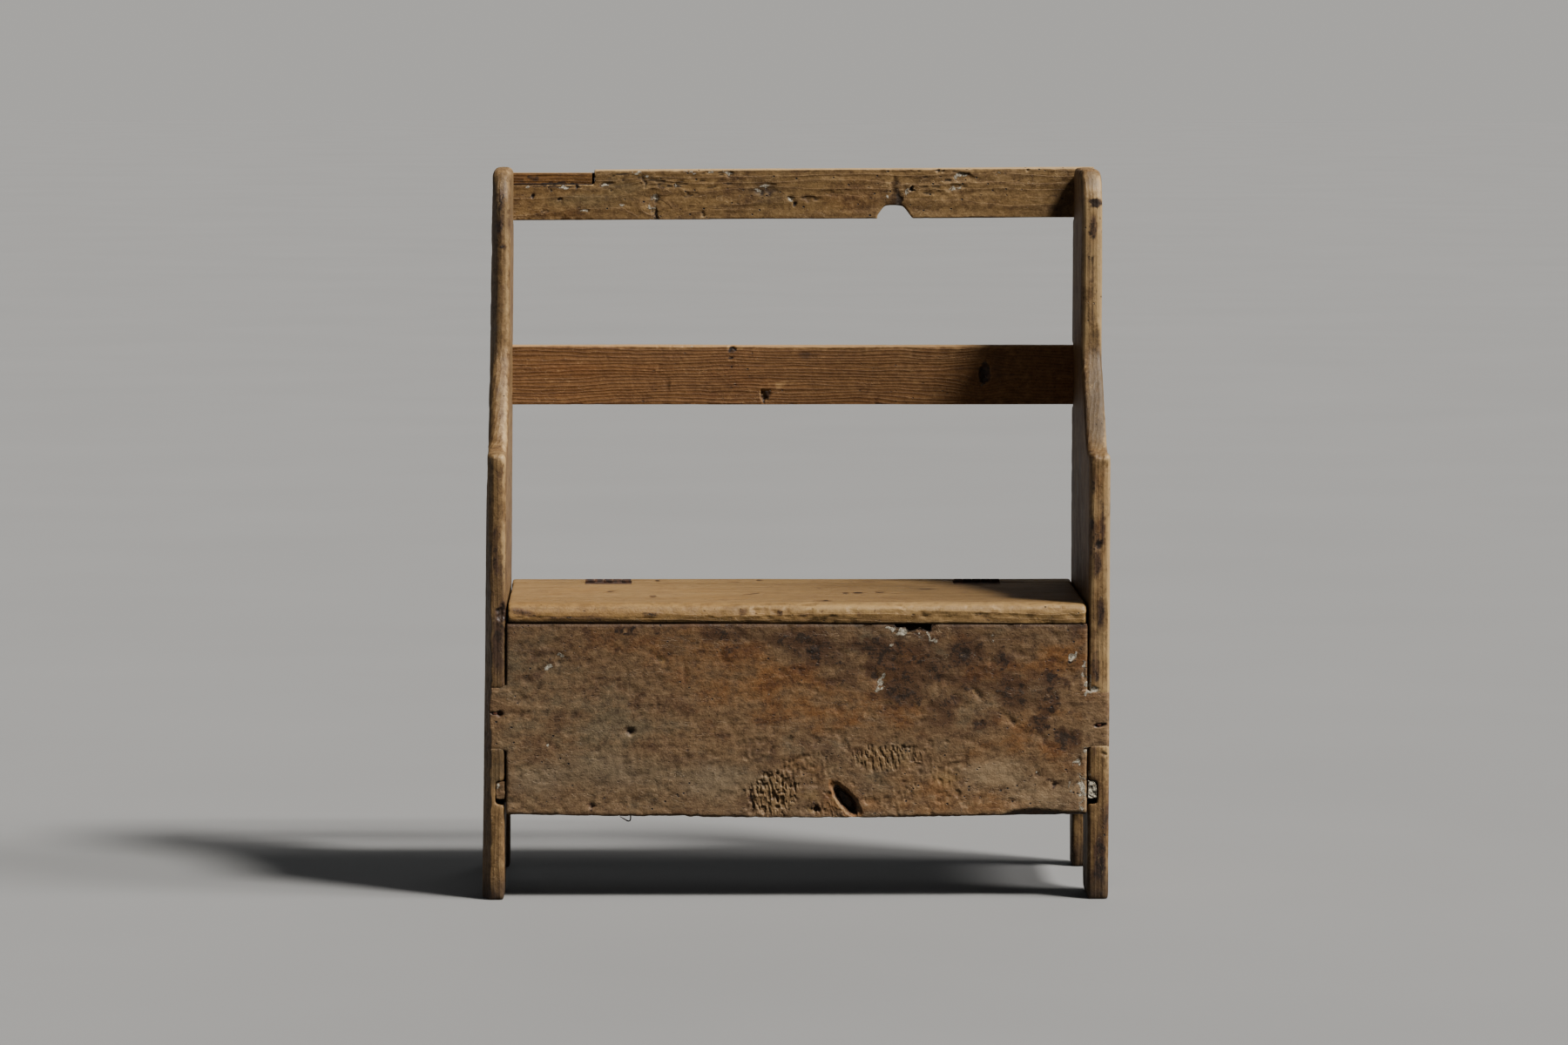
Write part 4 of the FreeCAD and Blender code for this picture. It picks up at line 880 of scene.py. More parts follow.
def top_rail_patch():
    board = Board("top_rail_patch", 0.9)
    x, y, z = board.start.T
    board.ease(2, board.arris)
    board.wave(0.3, (40, 5, 5), 61)
    # bedded in old filler: it goes a little into the rail below, and behind it into the gap at its end; its bed
    # edge is stained dark as a seam, and its end as painted shade in that gap
    bed, end = rise(z, 0.9775, 0.9755), rise(x, -0.2845, -0.2830) * rise(y, 0.173, 0.175)
    board.co[:, 2] -= 1.6 * MM * bed
    board.co[:, 0] += 3.4 * MM * end
    board.low[2] -= 2 * MM
    board.high[0] += 3.5 * MM
    board.add(stain=1.2 * np.maximum(bed, end))
    board.mark("stain", [
        (612, 205, 8, 5, 0.7), (598, 208, 8, 3, 0.4), (640, 211, 46, 1.5, 0.9), (660, 203, 6, 2, 0.3)])
    board.add(worn=0.7 * board.facing(UPWARD, 0.35))
    board.finish("top_rail_patch_strip", PATCH_WOOD, "frame", "patch_wood")


# ------------------------------------------------------------------ the seat
HINGES = [[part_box(f"{side}_hinge_{leaf}_leaf") for leaf in ("lid", "strip")] for side in ("left", "right")]
LID_LEAF, STRIP_LEAF = 0, 1


def let_in_hinges(board, which):
    """Sinks the shallow beds that the hinge leaves lie in, with crisp edges."""
    x, y, z = board.co.T
    for leaves in HINGES:
        low, high = leaves[which]

        def within(margin):
            return ((x > low.x - margin) & (x < high.x + margin)
                    & (y > low.y - margin) & (y < high.y + margin))

        near = within(4 * MM) & (z > 0.4045)
        bed = near & within(0.4 * MM)
        board.co[near & ~bed & (board.normals()[:, 2] > 0.5), 2] = SEAT_TOP - 0.2 * MM
        board.co[bed, 2] = np.minimum(z[bed], LEAF_BED)
        board.add(grime=0.8 * bed)


def near_hinges(p):
    x, y, z = p.T
    found = np.zeros(len(p), bool)
    for leaves in HINGES:
        low, high = leaves[LID_LEAF]
        found |= (x > low.x - 6 * MM) & (x < high.x + 6 * MM) & (np.abs(y - HINGE_LINE) < 34 * MM) & (z > 0.402)
    return found


def left_lift(x):
    """How much the seam between the lid's nose and the front board rises towards the left."""
    return MM * np.clip((0.40 - x) / 0.80, 0, 1)


def seat_lid():
    board = Board("seat_lid", 2.9, [near_hinges, near_hinges])
    p = board.start
    x, y, z = p.T
    away = 1 - near_hinges(p)
    nose = rise(y, -0.150, -0.170)
    ragged = 0.5 + 0.5 * unevenness(p, (35, 20, 20), 71)
    # the nose is a flat round, fuller to the left, where its lower edge is softer too
    full = 0.4 + 0.6 * rise(x, 0.25, -0.3)
    sharp = 1.4 - full
    inward = np.clip((y - FRONT) / (24 * MM), 0, 1)
    curve = 13 * MM * full * (1 - np.sqrt(np.clip(1 - (1 - inward) ** 2, 0, 1)))
    board.co[:, 2] -= curve * rise(z, 0.386, SEAT_TOP)
    lower = np.clip((0.391 - z) / (9 * MM), 0, 1) * rise(y, -0.165, -0.175)
    board.co[:, 1] += 1.6 * MM * (full - 0.4) * lower ** 3
    board.ease(5, board.arris * nose * (0.35 + 0.65 * ragged) * (1 - sharp * rise(z, 0.394, 0.388)))
    crisp = rise(z, 0.3865, 0.3845) * sharp
    board.co[:, 2] -= 1.5 * MM * crisp * nose
    board.co[:, 1] -= 1.2 * MM * crisp * rise(y, -0.186, -0.188)
    board.ease(3, board.arris * (1 - nose) * 0.7 * away)
    board.co[:, 2] += left_lift(x) * rise(z, 0.402, 0.384) * rise(y, -0.158, -0.168)
    board.wave(0.25, (160, 22, 9), 72, away)
    board.dent(0.8, (13, 10, 9), 73, nose * (rise(x, -0.16, -0.05) + 0.35), 0.15, 0.9)
    board.mark("depth", [
        (850, 703, 10, 5, 1.6, -40), (868, 702, 7, 5, 1.4, -40), (890, 704, 9, 5, 1.6, 40),
        (928, 705, 9, 5, 1.4, -40), (1020, 703, 14, 5, 1), (1060, 706, 10, 4, 1.4, 30),
        (1130, 708, 12, 5, 1.4, 20), (1180, 710, 9, 4, 1.3, -20), (1232, 706, 5, 8, 1.2),
        (595, 707, 12, 4, 1.2), (620, 709, 16, 4, 1), (745, 709, 12, 3, 1), (749, 685, 9, 1.5, 0.8),
        (864, 682, 8, 1.5, 0.8), (1010, 680, 8, 1.5, 0.8)])
    let_in_hinges(board, LID_LEAF)
    top, under, to_left = board.facing(UPWARD), board.facing(DOWNWARD), rise(x, 0.2, -0.2)
    dirty = nose * rise(z - 5 * MM * unevenness(p, (45, 30, 30), 77), 0.3930, 0.3850)
    # painted shade: the top grows darker towards the right end, as the light falls off along the seat
    board.add(worn=(0.05 + 0.35 * rise(x, -0.2, 0.2)) * nose * rise(z, 0.382, 0.388) + 0.15 * top,
              dark=0.36 * rise(x, -0.25, 0.15) * top * (1 - nose) + 0.4 * dirty * (0.4 + 0.6 * to_left)
              + 0.12 * nose,
              stain=0.22 * dirty * (0.5 + 0.5 * to_left)
              + 0.35 * under * (0.5 + 0.5 * unevenness(p, 90, 76, 2)),
              tone=0.5 * nose,
              grime=0.5 * under * nose + 0.35 * rise(y, 0.120, 0.134) + 0.3 * rise(x, -0.382, -0.395)
              + 0.3 * rise(x, 0.386, 0.4))
    board.mark("stain", [
        (750, 685, 6, 1.3, 1.3), (702, 679, 8, 1.2, 0.7, -5), (863, 682, 12, 1.3, 1.1, -3),
        (971, 681, 3, 1.2, 1.3), (985, 681, 7, 1.2, 1.1), (940, 676, 5, 1.2, 0.8), (946, 690, 20, 0.9, 0.8),
        (1010, 680, 7, 1.2, 0.9), (1107, 680, 8, 1.4, 0.8), (1060, 676, 26, 1.2, 0.6),
        (1025, 686, 26, 0.9, 0.5), (810, 676, 26, 0.9, 0.45), (905, 690, 20, 1, 0.35), (960, 673, 30, 1, 0.4),
        (650, 672, 40, 0.9, 0.35), (620, 684, 26, 0.9, 0.3), (770, 690, 30, 0.9, 0.3),
        (600, 703, 22, 6, 0.7, 10), (640, 709, 26, 3, 0.6), (680, 709, 30, 3, 0.6), (750, 705, 24, 4, 0.5),
        (895, 704, 5, 5, 0.9, -45), (853, 703, 7, 6, 0.8, -30), (944, 702, 2, 1.6, 1.2), (986, 706, 4, 4, 0.7),
        (1004, 702, 2, 2, 0.9), (1150, 713, 60, 2.5, 0.4), (1005, 711, 30, 2.5, 0.4), (1131, 708, 8, 3, 0.4),
        (925, 706, 14, 4, 0.4)], wobble=0.9, least=0.03)
    board.mark("worn", [(860, 702, 20, 5, 0.3), (1000, 700, 110, 5, 0.25), (970, 697, 50, 4, 0.3)], least=0.03)
    board.mark("tone", [
        (680, 704, 120, 8, 0.5), (760, 676, 160, 5, 0.3), (1000, 705, 200, 8, 0.2), (850, 672, 60, 4, -0.3),
        (660, 680, 60, 6, 0.5), (1040, 676, 60, 6, -0.5), (820, 686, 60, 4, 0.4)], least=0.03)
    board.knots(FLAT, ((0.1, 0.02, 0.382, 8), (-0.22, -0.09, 0.382, 7), (0.29, -0.06, 0.382, 6)))
    board.finish("seat_lid_board", SEAT_WOOD, "lid", "seat_wood", 0.4)


def seat_back_strip():
    board = Board("seat_back_strip", 2.4, [near_hinges, near_hinges])
    y, away = board.start[:, 1], 1 - near_hinges(board.start)
    board.ease(3, board.arris * 0.8 * away)
    board.wave(0.25, (120, 15, 9), 81, away)
    let_in_hinges(board, STRIP_LEAF)
    board.add(grime=0.45 * rise(y, 0.150, 0.136) + 0.25 * rise(y, 0.178, 0.190))
    board.mark("stain", [
        (599, 659, 6, 2, 1.2), (622, 662.5, 4, 2, 1.2), (647, 664, 4, 1.5, 1.2), (755, 667, 4, 1.5, 1.2),
        (872, 666, 5, 1.5, 1), (847, 669, 20, 1, 0.6), (980, 668, 60, 1.2, 0.5), (1160, 668, 40, 3, 0.4)],
        wobble=0.8, least=0.03)
    board.add(worn=0.15 * board.facing(UPWARD))
    board.finish("seat_back_strip_board", SEAT_WOOD, "frame", "seat_wood")


# ------------------------------------------------------------------ the box
# places on the front board, in the photograph's pixels
GOUGED = ((888, 912, 34, 30, 1.0), (1018, 870, 46, 19, 0.95), (1035, 912, 50, 26, 0.5),
          (1000, 858, 40, 12, 0.4), (930, 880, 50, 18, 0.5), (1085, 885, 30, 22, 0.5),
          (1120, 915, 60, 22, 0.45), (955, 930, 40, 12, 0.5), (1190, 915, 50, 20, 0.3))
WORST_BROKEN = ((888, 912, 34, 29), (1018, 870, 43, 18), (969, 919, 26, 26), (938, 928, 8, 8),
                (1048, 716, 26, 13))
KNOT_HOLE, KNOT_HOLE_TURN = (970.5, 918.5), math.radians(51)
LOWER_EDGE = ((583, 640, 700, 775, 818, 850, 890, 938, 985, 1011, 1080, 1137, 1246),
              (937.2, 938, 938.4, 937.2, 938.4, 938.7, 941.4, 942, 942.6, 939, 939, 938.5, 938.3))
LOWER_BEVEL = ((1146, 1166, 1189, 1212, 1246), (937.5, 930.5, 929.0, 931.5, 933.5))
TOP_NOTCH = ((1026, 1029, 1038, 1043, 1050, 1056, 1061, 1068, 1070), (0, 4.4, 3.4, 8.2, 7.4, 3.6, 7.0, 8.6, 0))
PIXEL = 1.2 * MM         # about the size of a pixel of the photograph on the front board


def gouged_part(p):
    x, y = in_photo(p).T
    under_lid = (np.abs(x - 1048) < 27) & (y < 732)
    return (p[:, 1] < -0.176) & ((x > 852) & (x < 1110) & (y > 845) | under_lid)


def broken_part(p):
    """The worst gouges, the knot hole and the upper notch, which need a finer mesh still."""
    spot = in_photo(p)
    found = np.zeros(len(p), bool)
    for ellipse in WORST_BROKEN:
        found |= reach_of(spot, *ellipse) < 1
    return found & gouged_part(p)


def gouge(board, spot):
    """Sinks the gouged part and breaks it up by short blows of a tool."""
    p = board.start
    total = np.zeros(len(p))
    for *ellipse, amount in GOUGED:
        total = np.maximum(total, amount * np.clip(1.25 - reach_of(spot, *ellipse), 0, 1))
    on_face = p[:, 1] < -0.180
    gouged = total * on_face * rise(unevenness(p, 18, 93) + total, 0.1, 0.7)
    lean = p.copy()
    lean[:, 0] += 0.15 * p[:, 2]
    blows = rise(unevenness(lean, (2.6, 8, 9), 94, 2), -0.3, 0.5)
    pits = rise(unevenness(p, (6, 8, 8), 95, 2), 0.0, 0.8)
    chunky = rise(spot[:, 0], 945, 915)
    board.sink(gouged * (0.2 + 1.3 * blows + (0.5 + 1.9 * chunky) * pits), BACKWARD)
    board.add(dark=0.35 * gouged * np.maximum(pits * chunky, blows * (1 - chunky)), raw=0.55 * total * on_face)


def cut_top_notch(board, spot):
    """A ragged notch in the top edge, under the lid."""
    p = board.start
    notch = PIXEL * np.interp(spot[:, 0] + 1.5 * unevenness(p, 4, 85, 2), *TOP_NOTCH)
    floor = BOX_TOP - notch
    at_floor = (notch > 0.5 * MM) * rise(board.co[:, 2], floor - 1.5 * MM, floor)
    # the notch's floor is darkened, partly dirt and partly painted shade under the lid
    board.add(grime=1.6 * at_floor * (p[:, 1] < -0.168))
    board.co[:, 2] = np.where(p[:, 1] < -0.181, np.minimum(board.co[:, 2], floor), board.co[:, 2])


def cut_knot_hole(board, spot):
    """The knot hole, deep, slanting and with a rounded lip."""
    x, y = (spot - KNOT_HOLE).T
    c, s = math.cos(KNOT_HOLE_TURN), math.sin(KNOT_HOLE_TURN)
    along, aside = x * c + y * s, y * c - x * s
    hole = np.hypot(along / 22, aside / (8.4 + 0.04 * along))
    hole = np.where(board.co[:, 1] < -0.170, hole + 0.08 * unevenness(board.co, 5, 98, 2), 9)
    bottom = FRONT + 15 * MM * rise(hole, 1.0, 0.45) + 2.4 * MM * rise(hole, 1.38, 1.0)
    board.co[:, 1] = np.where(hole < 1.35, np.maximum(board.co[:, 1], bottom), board.co[:, 1])
    board.add(stain=1.6 * rise(hole, 1.02, 0.8), tone=1.1 * rise(hole, 1.45, 1.15) * rise(hole, 0.9, 1.05))


def front_board():
    board = Board("front_board", 3.0, [lambda p: near_tab(p) > 0.01, gouged_part, broken_part])
    p, spot = board.start, in_photo(board.start)
    x, _, z = p.T
    joint = near_tab(p)
    free = 1 - joint
    board.ease(4, board.arris * (0.3 + 0.5 * unevenness(p, 25, 91, 2)) * free * rise(z, 0.374, 0.366))
    board.co[:, 2] = np.minimum(board.co[:, 2] + 1.6 * MM * rise(z, 0.3765, 0.3785), BOX_TOP)
    # the bottom edge is ragged and hangs lowest under the knot hole
    lift = np.clip(938.4 - np.interp(spot[:, 0], *LOWER_EDGE), 0, 9) * PIXEL
    lift += (0.3 + 0.9 * unevenness(p, (9, 12, 1000), 92)) * MM
    board.co[:, 2] += np.clip(lift, 0, None) * rise(z, 0.135, 0.115)
    gouge(board, spot)
    # slow waves of the plane all over, and a soft scatter of dents
    front = board.facing(FRONTWARD)
    board.wave(0.3, (70, 20, 22), 96, free)
    board.dent(0.9, 12, 97, front * free, 0.4)
    close_joint(board, 1)
    board.mark("depth", [
        (722, 841, 9, 5, 1.6, 10), (724, 840, 3.5, 3, 3.5), (681, 925, 4, 3, 3.5), (1010, 782, 8, 10, 2.2, 20),
        (1005, 775, 5, 6, 1.6), (640, 757, 10, 8, 1.5, 20), (631, 766, 5, 5, 1.6), (645, 753, 5, 4, 1),
        (758, 757, 9, 4, 1.6, 30), (708, 785, 5, 5, 1.2), (1120, 795, 12, 4, 2, 48),
        (1157, 825, 24, 3, 1.2, 42), (769, 753, 8, 3, 1.2, 15), (1208, 898, 2, 8, 2.2, -35),
        (1192, 888, 3, 8, 1.6, -40), (630, 854, 3, 6, 1.6), (641, 880, 1.5, 14, 1.2),
        (643, 915, 1.5, 14, 1, -8), (1237, 875, 6, 6, 1.6), (1243, 905, 5, 24, 1.6), (1245, 775, 3, 20, 1.8),
        (1233, 755, 7, 5, 1.2, 20), (820, 838, 5, 4, 0.8), (938, 928, 5, 4, 5), (934, 931, 8, 5, 1),
        (863, 925, 4, 14, 2, 10), (950, 912, 5, 5, 1.4), (1056, 760, 4, 6, 0.8, 20), (1134, 735, 2, 8, 0.8),
        (1120, 752, 3, 6, 0.8), (782, 818, 6, 2, 0.8, 10), (600, 884, 20, 5, 0.7, 10),
        (618, 892, 16, 6, 0.7, 20), (730, 860, 20, 8, 0.5)])
    cut_top_notch(board, spot)
    # a crack from a nail in each tab
    board.mark("depth", [
        (567, 819.4, 6, 1.6, 4), (573.7, 819.4, 4.4, 3.2, 5), (1263, 832.5, 8, 2, 4.5, -4)], wobble=0.7)
    board.mark("stain", [
        (566, 819.4, 8, 2.4, 2.2), (573.7, 819.4, 5, 4, 2.4), (1263, 832.5, 10, 3, 2.2, -4)], wobble=0.7)
    spot = in_photo(board.co)
    cut_knot_hole(board, spot)
    # the bottom edge is bevelled off at the right end
    across, down = spot.T
    bevel = np.interp(across, *LOWER_BEVEL)
    below = rise(down, bevel - 0.6, bevel + 0.8) * (across > LOWER_BEVEL[0][0]) * (board.co[:, 1] < -0.170)
    board.sink(below * (2 + 0.6 * (down - bevel)), BACKWARD)
    # painted shade: the bevel, which faces down and away from the light, is stained dark
    board.add(stain=0.9 * below)
    board.mark("stain", [
        (936, 752, 8, 10, 0.9), (976, 772, 16, 22, 0.5), (1000, 770, 9, 16, 0.9), (1001, 798, 5, 6, 0.7),
        (1050, 770, 50, 44, 0.4), (1070, 830, 60, 20, 0.35), (1108, 750, 26, 22, 0.5), (1130, 775, 30, 34, 0.3),
        (1150, 752, 9, 18, 0.7), (1102, 753, 12, 7, 0.6), (1207, 777, 11, 7, 0.95), (1224, 785, 5, 9, 0.9, -25),
        (1207, 791, 5, 6, 0.9), (1213, 803, 7, 8, 0.95), (1202, 818, 12, 9, 0.95), (1194, 831, 16, 11, 0.95),
        (1218, 846, 13, 11, 1.1), (1233, 845, 12, 9, 1.1), (1221, 858, 9, 8, 1), (1228, 762, 9, 6, 0.9),
        (1127, 833, 14, 8, 0.85), (1085, 806, 34, 12, 0.5), (1160, 800, 20, 30, 0.45), (1040, 800, 30, 14, 0.4),
        (1150, 860, 40, 12, 0.35), (990, 740, 20, 14, 0.5), (960, 760, 18, 12, 0.4), (1190, 800, 50, 50, 0.2),
        (1165, 842, 24, 12, 0.4), (672, 726, 5, 5, 0.9), (710, 725, 6, 6, 1.1), (724, 725, 6, 6, 1.2),
        (753, 724, 8, 6, 0.8), (770, 742, 20, 16, 0.5), (830, 728, 42, 13, 0.8), (900, 735, 40, 18, 0.5),
        (1010, 745, 24, 20, 0.5), (843, 746, 12, 3, 0.9, -10), (850, 760, 30, 30, 0.25),
        (935, 740, 40, 30, 0.45), (955, 800, 30, 30, 0.2), (838, 822, 8, 12, 0.5), (722, 841, 9, 5, 0.9),
        (634, 757, 5, 7, 0.8), (637, 764, 4, 4, 1), (769, 753, 9, 4, 0.9, 15), (709, 784, 6, 5, 0.7),
        (738, 797, 3, 4, 0.9), (689, 817, 12, 2, 0.7, 15), (681, 925, 5, 4, 1.3), (780, 933, 22, 4, 0.6),
        (620, 935, 60, 3, 0.5), (880, 880, 30, 10, 0.2), (640, 900, 8, 22, 0.3), (1208, 898, 3, 8, 1.2, -35),
        (1192, 888, 3, 8, 0.8, -40), (955, 932, 30, 8, 0.3), (1030, 745, 60, 16, 0.35), (938, 928, 5, 4, 1.5),
        (862, 916, 4, 18, 0.7, 5), (900, 900, 30, 20, 0.2), (1010, 850, 50, 5, 0.35, 5)], wobble=5)
    board.mark("pale", [
        (1023, 722, 4.5, 3.5, 0.85), (1036, 727, 7, 5.5, 0.95, 10), (1066, 731, 8, 4, 0.9, 55),
        (1073, 737, 5, 3.5, 0.75, 30), (1055, 731, 4, 3, 0.5), (1024, 741, 5, 2, 0.6, -20),
        (645, 753, 6, 4, 0.75, 40), (651, 757, 3, 3, 0.8), (630, 766, 5, 3.5, 0.7), (1011, 782, 5, 9, 0.9, 20),
        (1008, 792, 4, 3, 0.7), (1232, 755, 8, 5, 0.85, -20), (1245, 768, 3.5, 12, 0.75),
        (1247, 785, 2.5, 10, 0.8), (1250, 795, 6, 5, 0.8), (1237, 877, 7, 4, 0.75), (1242, 905, 6, 20, 0.6),
        (1240, 928, 5, 8, 0.6), (1247, 862, 3.5, 6, 0.65), (629, 854, 3, 5, 0.8), (1190, 885, 3, 4, 0.5, -30),
        (1116, 752, 2, 5, 0.4), (1138, 735, 4, 5, 0.4), (1126, 757, 3, 4, 0.35), (1228, 905, 4, 10, 0.4)],
        wobble=3.5)
    board.mark("raw", [
        (964, 925, 20, 3, 1, 50), (930, 930, 6, 3, 0.8, 30), (760, 758, 9, 3.5, 1, 35),
        (1118, 795, 11, 3, 1, 48), (1155, 824, 20, 2.5, 0.6, 42), (781, 819, 6, 2, 0.4, 10),
        (932, 914, 14, 10, 0.7), (1085, 895, 18, 12, 0.5), (820, 841, 4, 3, 0.4)])
    board.mark("tone", [
        (830, 760, 90, 60, 0.5), (900, 800, 110, 50, 0.45), (1000, 790, 90, 60, 0.4), (720, 740, 80, 35, 0.4),
        (640, 830, 110, 110, -0.4), (700, 850, 120, 80, -0.3), (1070, 780, 90, 60, 0.4),
        (1200, 750, 80, 40, 0.5), (1180, 840, 60, 40, 0.3), (600, 760, 40, 50, -0.5), (780, 900, 100, 40, -0.5),
        (1000, 920, 160, 30, 0.4)])
    board.mark("grey", [
        (820, 895, 50, 26, 0.35), (620, 895, 40, 22, 0.3), (1140, 880, 50, 20, 0.2), (1030, 855, 60, 14, 0.2),
        (700, 880, 80, 30, 0.25)])
    board.mark("worn", [
        (820, 900, 60, 26, 0.4), (610, 885, 30, 10, 0.5, 10), (1140, 885, 40, 20, 0.6),
        (1190, 915, 40, 14, 0.3)])
    # darker along the top under the seat, partly dirt and partly painted shade under the lid's nose, with no
    # rubbed light on the top arris; greyer and lighter below, partly rubbed wear and partly painted light
    # towards the bottom right
    height = board.co[:, 2].copy()

    def uneven_height(amount, spacing, seed):
        return height + amount * MM * unevenness(p, spacing, seed, 2)

    broad = rise(unevenness(p, (60, 60, 34), 88), -0.15, 0.6)
    board.add(grime=0.45 * front * rise(height, 0.370, 0.380) + 0.3 * rise(height, 0.122, 0.113) - joint,
              dark=0.8 * rise(height, 0.374, 0.380)
              + 0.32 * front * rise(uneven_height(20, 60, 90), 0.24, 0.37),
              worn=-1.5 * rise(height, 0.373, 0.378)
              + 0.4 * front * rise(uneven_height(-20, 50, 89), 0.25, 0.15) * rise(x, -0.3, 0.3)
              - 0.6 * joint * (x < 0) + 0.35 * joint * (x > 0),
              grey=0.36 * front * rise(uneven_height(-15, 50, 86), 0.25, 0.17),
              stain=0.3 * front * broad * rise(x, -0.05, 0.15) * rise(height, 0.19, 0.26),
              tone=0.4 * board.facing(BACKWARD) * unevenness(p, 100, 99, 2)
              + 0.7 * front * unevenness(p, (50, 50, 26), 87) * rise(x, -0.2, 0.1))
    round_arris(board, OUTER_FACE - board.co[:, 0], board.co[:, 1] - FRONT, (np.abs(x) > 0.41) * joint)
    # the left tab has the left side's waney arris
    waney = x < -0.398
    plain_co, plain_masks = board.co.copy(), dict(board.masks)
    waney_arris(board)
    board.co = np.where(waney[:, None], board.co, plain_co)
    board.masks = {name: np.where(waney, board.masks[name], plain_masks[name]) for name in MASKS}
    # the strip under the lid's nose rises with it to the left
    board.high[2] += 6 * MM
    board.co[:, 2] += left_lift(board.co[:, 0]) * rise(z, 0.340, 0.3805)
    board.finish("front_board_plank", BOX_WOOD, "frame", "box_wood", free)


def back_board():
    board = Board("back_board", 3.2)
    p = board.start
    board.ease(3, board.arris * 0.7)
    board.wave(0.35, (150, 20, 16), 101)
    board.dent(1.4, 16, 102, board.arris, 0.4)
    board.add(tone=0.5 * unevenness(p, (160, 60, 60), 103, 2),
              stain=0.5 * rise(unevenness(p, (90, 60, 50), 104), 0.2, 0.8),
              grime=0.4 * rise(p[:, 2], 0.13, 0.11))
    board.knots(LEVEL, ((-0.16, 0.19, 0.27, 13), (0.21, 0.19, 0.19, 10), (0.05, 0.19, 0.33, 7)))
    board.finish("back_board_plank", BOX_WOOD, "frame", "box_wood")


def floor_board():
    board = Board("floor_board", 3.4)
    p = board.start
    board.ease(2, board.arris * 0.6)
    board.wave(0.3, (150, 25, 16), 111)
    edges = np.maximum(rise(np.abs(p[:, 0]), 0.37, 0.41), rise(np.abs(p[:, 1]), 0.13, 0.165))
    board.add(tone=0.4 * unevenness(p, 120, 113, 2), grime=0.5 * edges * board.facing(UPWARD))
    board.knots(FLAT, ((-0.2, 0.03, 0.157, 12), (-0.15, 0.03, 0.132, 12),
                       (0.12, -0.07, 0.157, 9), (0.17, -0.07, 0.132, 9)))
    board.finish("floor_board_plank", FLOOR_WOOD, "frame", "box_wood")


def slot_fillers():
    left = Board("left_slot_filler", 0.8)
    left.ease(2, left.arris)
    left.sink(0.4 + 0.4 * unevenness(left.co, 5, 121, 2))
    left.mark("depth", [(571, 908, 3, 6, 1.2, 30)], wobble=0.5)
    left.mark("pale", [
        (572, 903, 2, 6, 0.8, 25), (568, 915, 2, 6, 0.8, -10), (574, 920, 3, 1.5, 0.6)], wobble=0.8)
    left.add(stain=0.4)
    left.finish("left_slot_filler_block", BOX_WOOD, "frame", "filler_wood")
    right = Board("right_slot_filler", 0.8)
    right.ease(2, right.arris)
    right.sink(0.5 + 0.6 * unevenness(right.co, 4, 122))
    right.sink(1.5 * rise(unevenness(right.co, 5, 124, 2), 0.1, 0.8))
    right.add(pale=0.6 + 0.3 * unevenness(right.co, 6, 123, 2))
    right.finish("right_slot_filler_block", FILLER_WOOD, "frame", "filler_wood")


# ------------------------------------------------------------------ hinges, nails and screws
def hinge_iron(side):
    for part, body, pitch in (("lid_leaf", "lid", 0.55), ("strip_leaf", "frame", 0.55), ("pin", "frame", 0.35)):
        board = Board(f"{side}_hinge_{part}", pitch, stopped=False)
        board.ease(1, board.arris)
        board.sink(0.04 + 0.16 * rise(unevenness(board.start, 2.2, 131), 0.1, 0.9))
        board.add(worn=0.5 * board.arris)
        board.finish(f"{side}_hinge_{part}_iron", HINGE_IRON, body, "hinge_iron")


def lathe(rings, sides, name):
    """A closed turned shape from (radius, height, unroundness) rings, bottom to top, in millimetres."""
    whole = bmesh.new()
    loops = []
    for radius, height, unround in rings:
        loop = []
        for k in range(sides):
            a = 2 * math.pi * k / sides
            r = radius * MM * (1 + unround * math.sin(3.0 * a + 1.7) * math.cos(2.0 * a + 0.4))
            loop.append(whole.verts.new((r * math.cos(a), r * math.sin(a), height * MM)))
        loops.append(loop)
    for low, high in zip(loops, loops[1:]):
        for k in range(sides):
            n = (k + 1) % sides
            whole.faces.new((low[k], low[n], high[n], high[k]))
    whole.faces.new(list(reversed(loops[0])))
    whole.faces.new(loops[-1])
    bmesh.ops.recalc_face_normals(whole, faces=whole.faces)
    thing = object_from(whole, name)
    smooth(thing.data)
    return thing


def nail_shape(name, head, length, shank):
    """A hand-made nail, its head's top at the origin and its point down."""
    rings = ((0.25 * shank, -length, 0.0), (0.8 * shank, -0.6 * length, 0.1), (shank, -2.6, 0.1),
             (0.75 * head, -1.6, 0.06), (0.97 * head, -1.1, 0.07), (head, -0.7, 0.07),
             (0.9 * head, -0.25, 0.08), (0.45 * head, -0.02, 0.1))
    return lathe(rings, 12, name)


def screw_shape():
    """A slotted countersunk screw, its head's top at the origin."""
    head, shank, length = 3.45, 1.4, 15
    screw = lathe([(radius, height, 0.0) for radius, height in (
        (0.3 * shank, -length), (shank, 3 - length), (shank, -2.3), (head, -0.5),
        (0.97 * head, -0.2), (0.9 * head, -0.12))], 24, "screw_shape")
    blade = bmesh.new()
    bmesh.ops.create_cube(blade, size=1.0, matrix=Matrix.Diagonal((9 * MM, 0.95 * MM, 2.2 * MM, 1)))
    slot = object_from(blade, "slot_blade")
    cut = screw.modifiers.new("slot", "BOOLEAN")
    cut.operation, cut.object, cut.solver = "DIFFERENCE", slot, "EXACT"
    made = plain_object(evaluated_mesh(screw), "slotted_screw")
    bpy.data.objects.remove(slot)
    return made


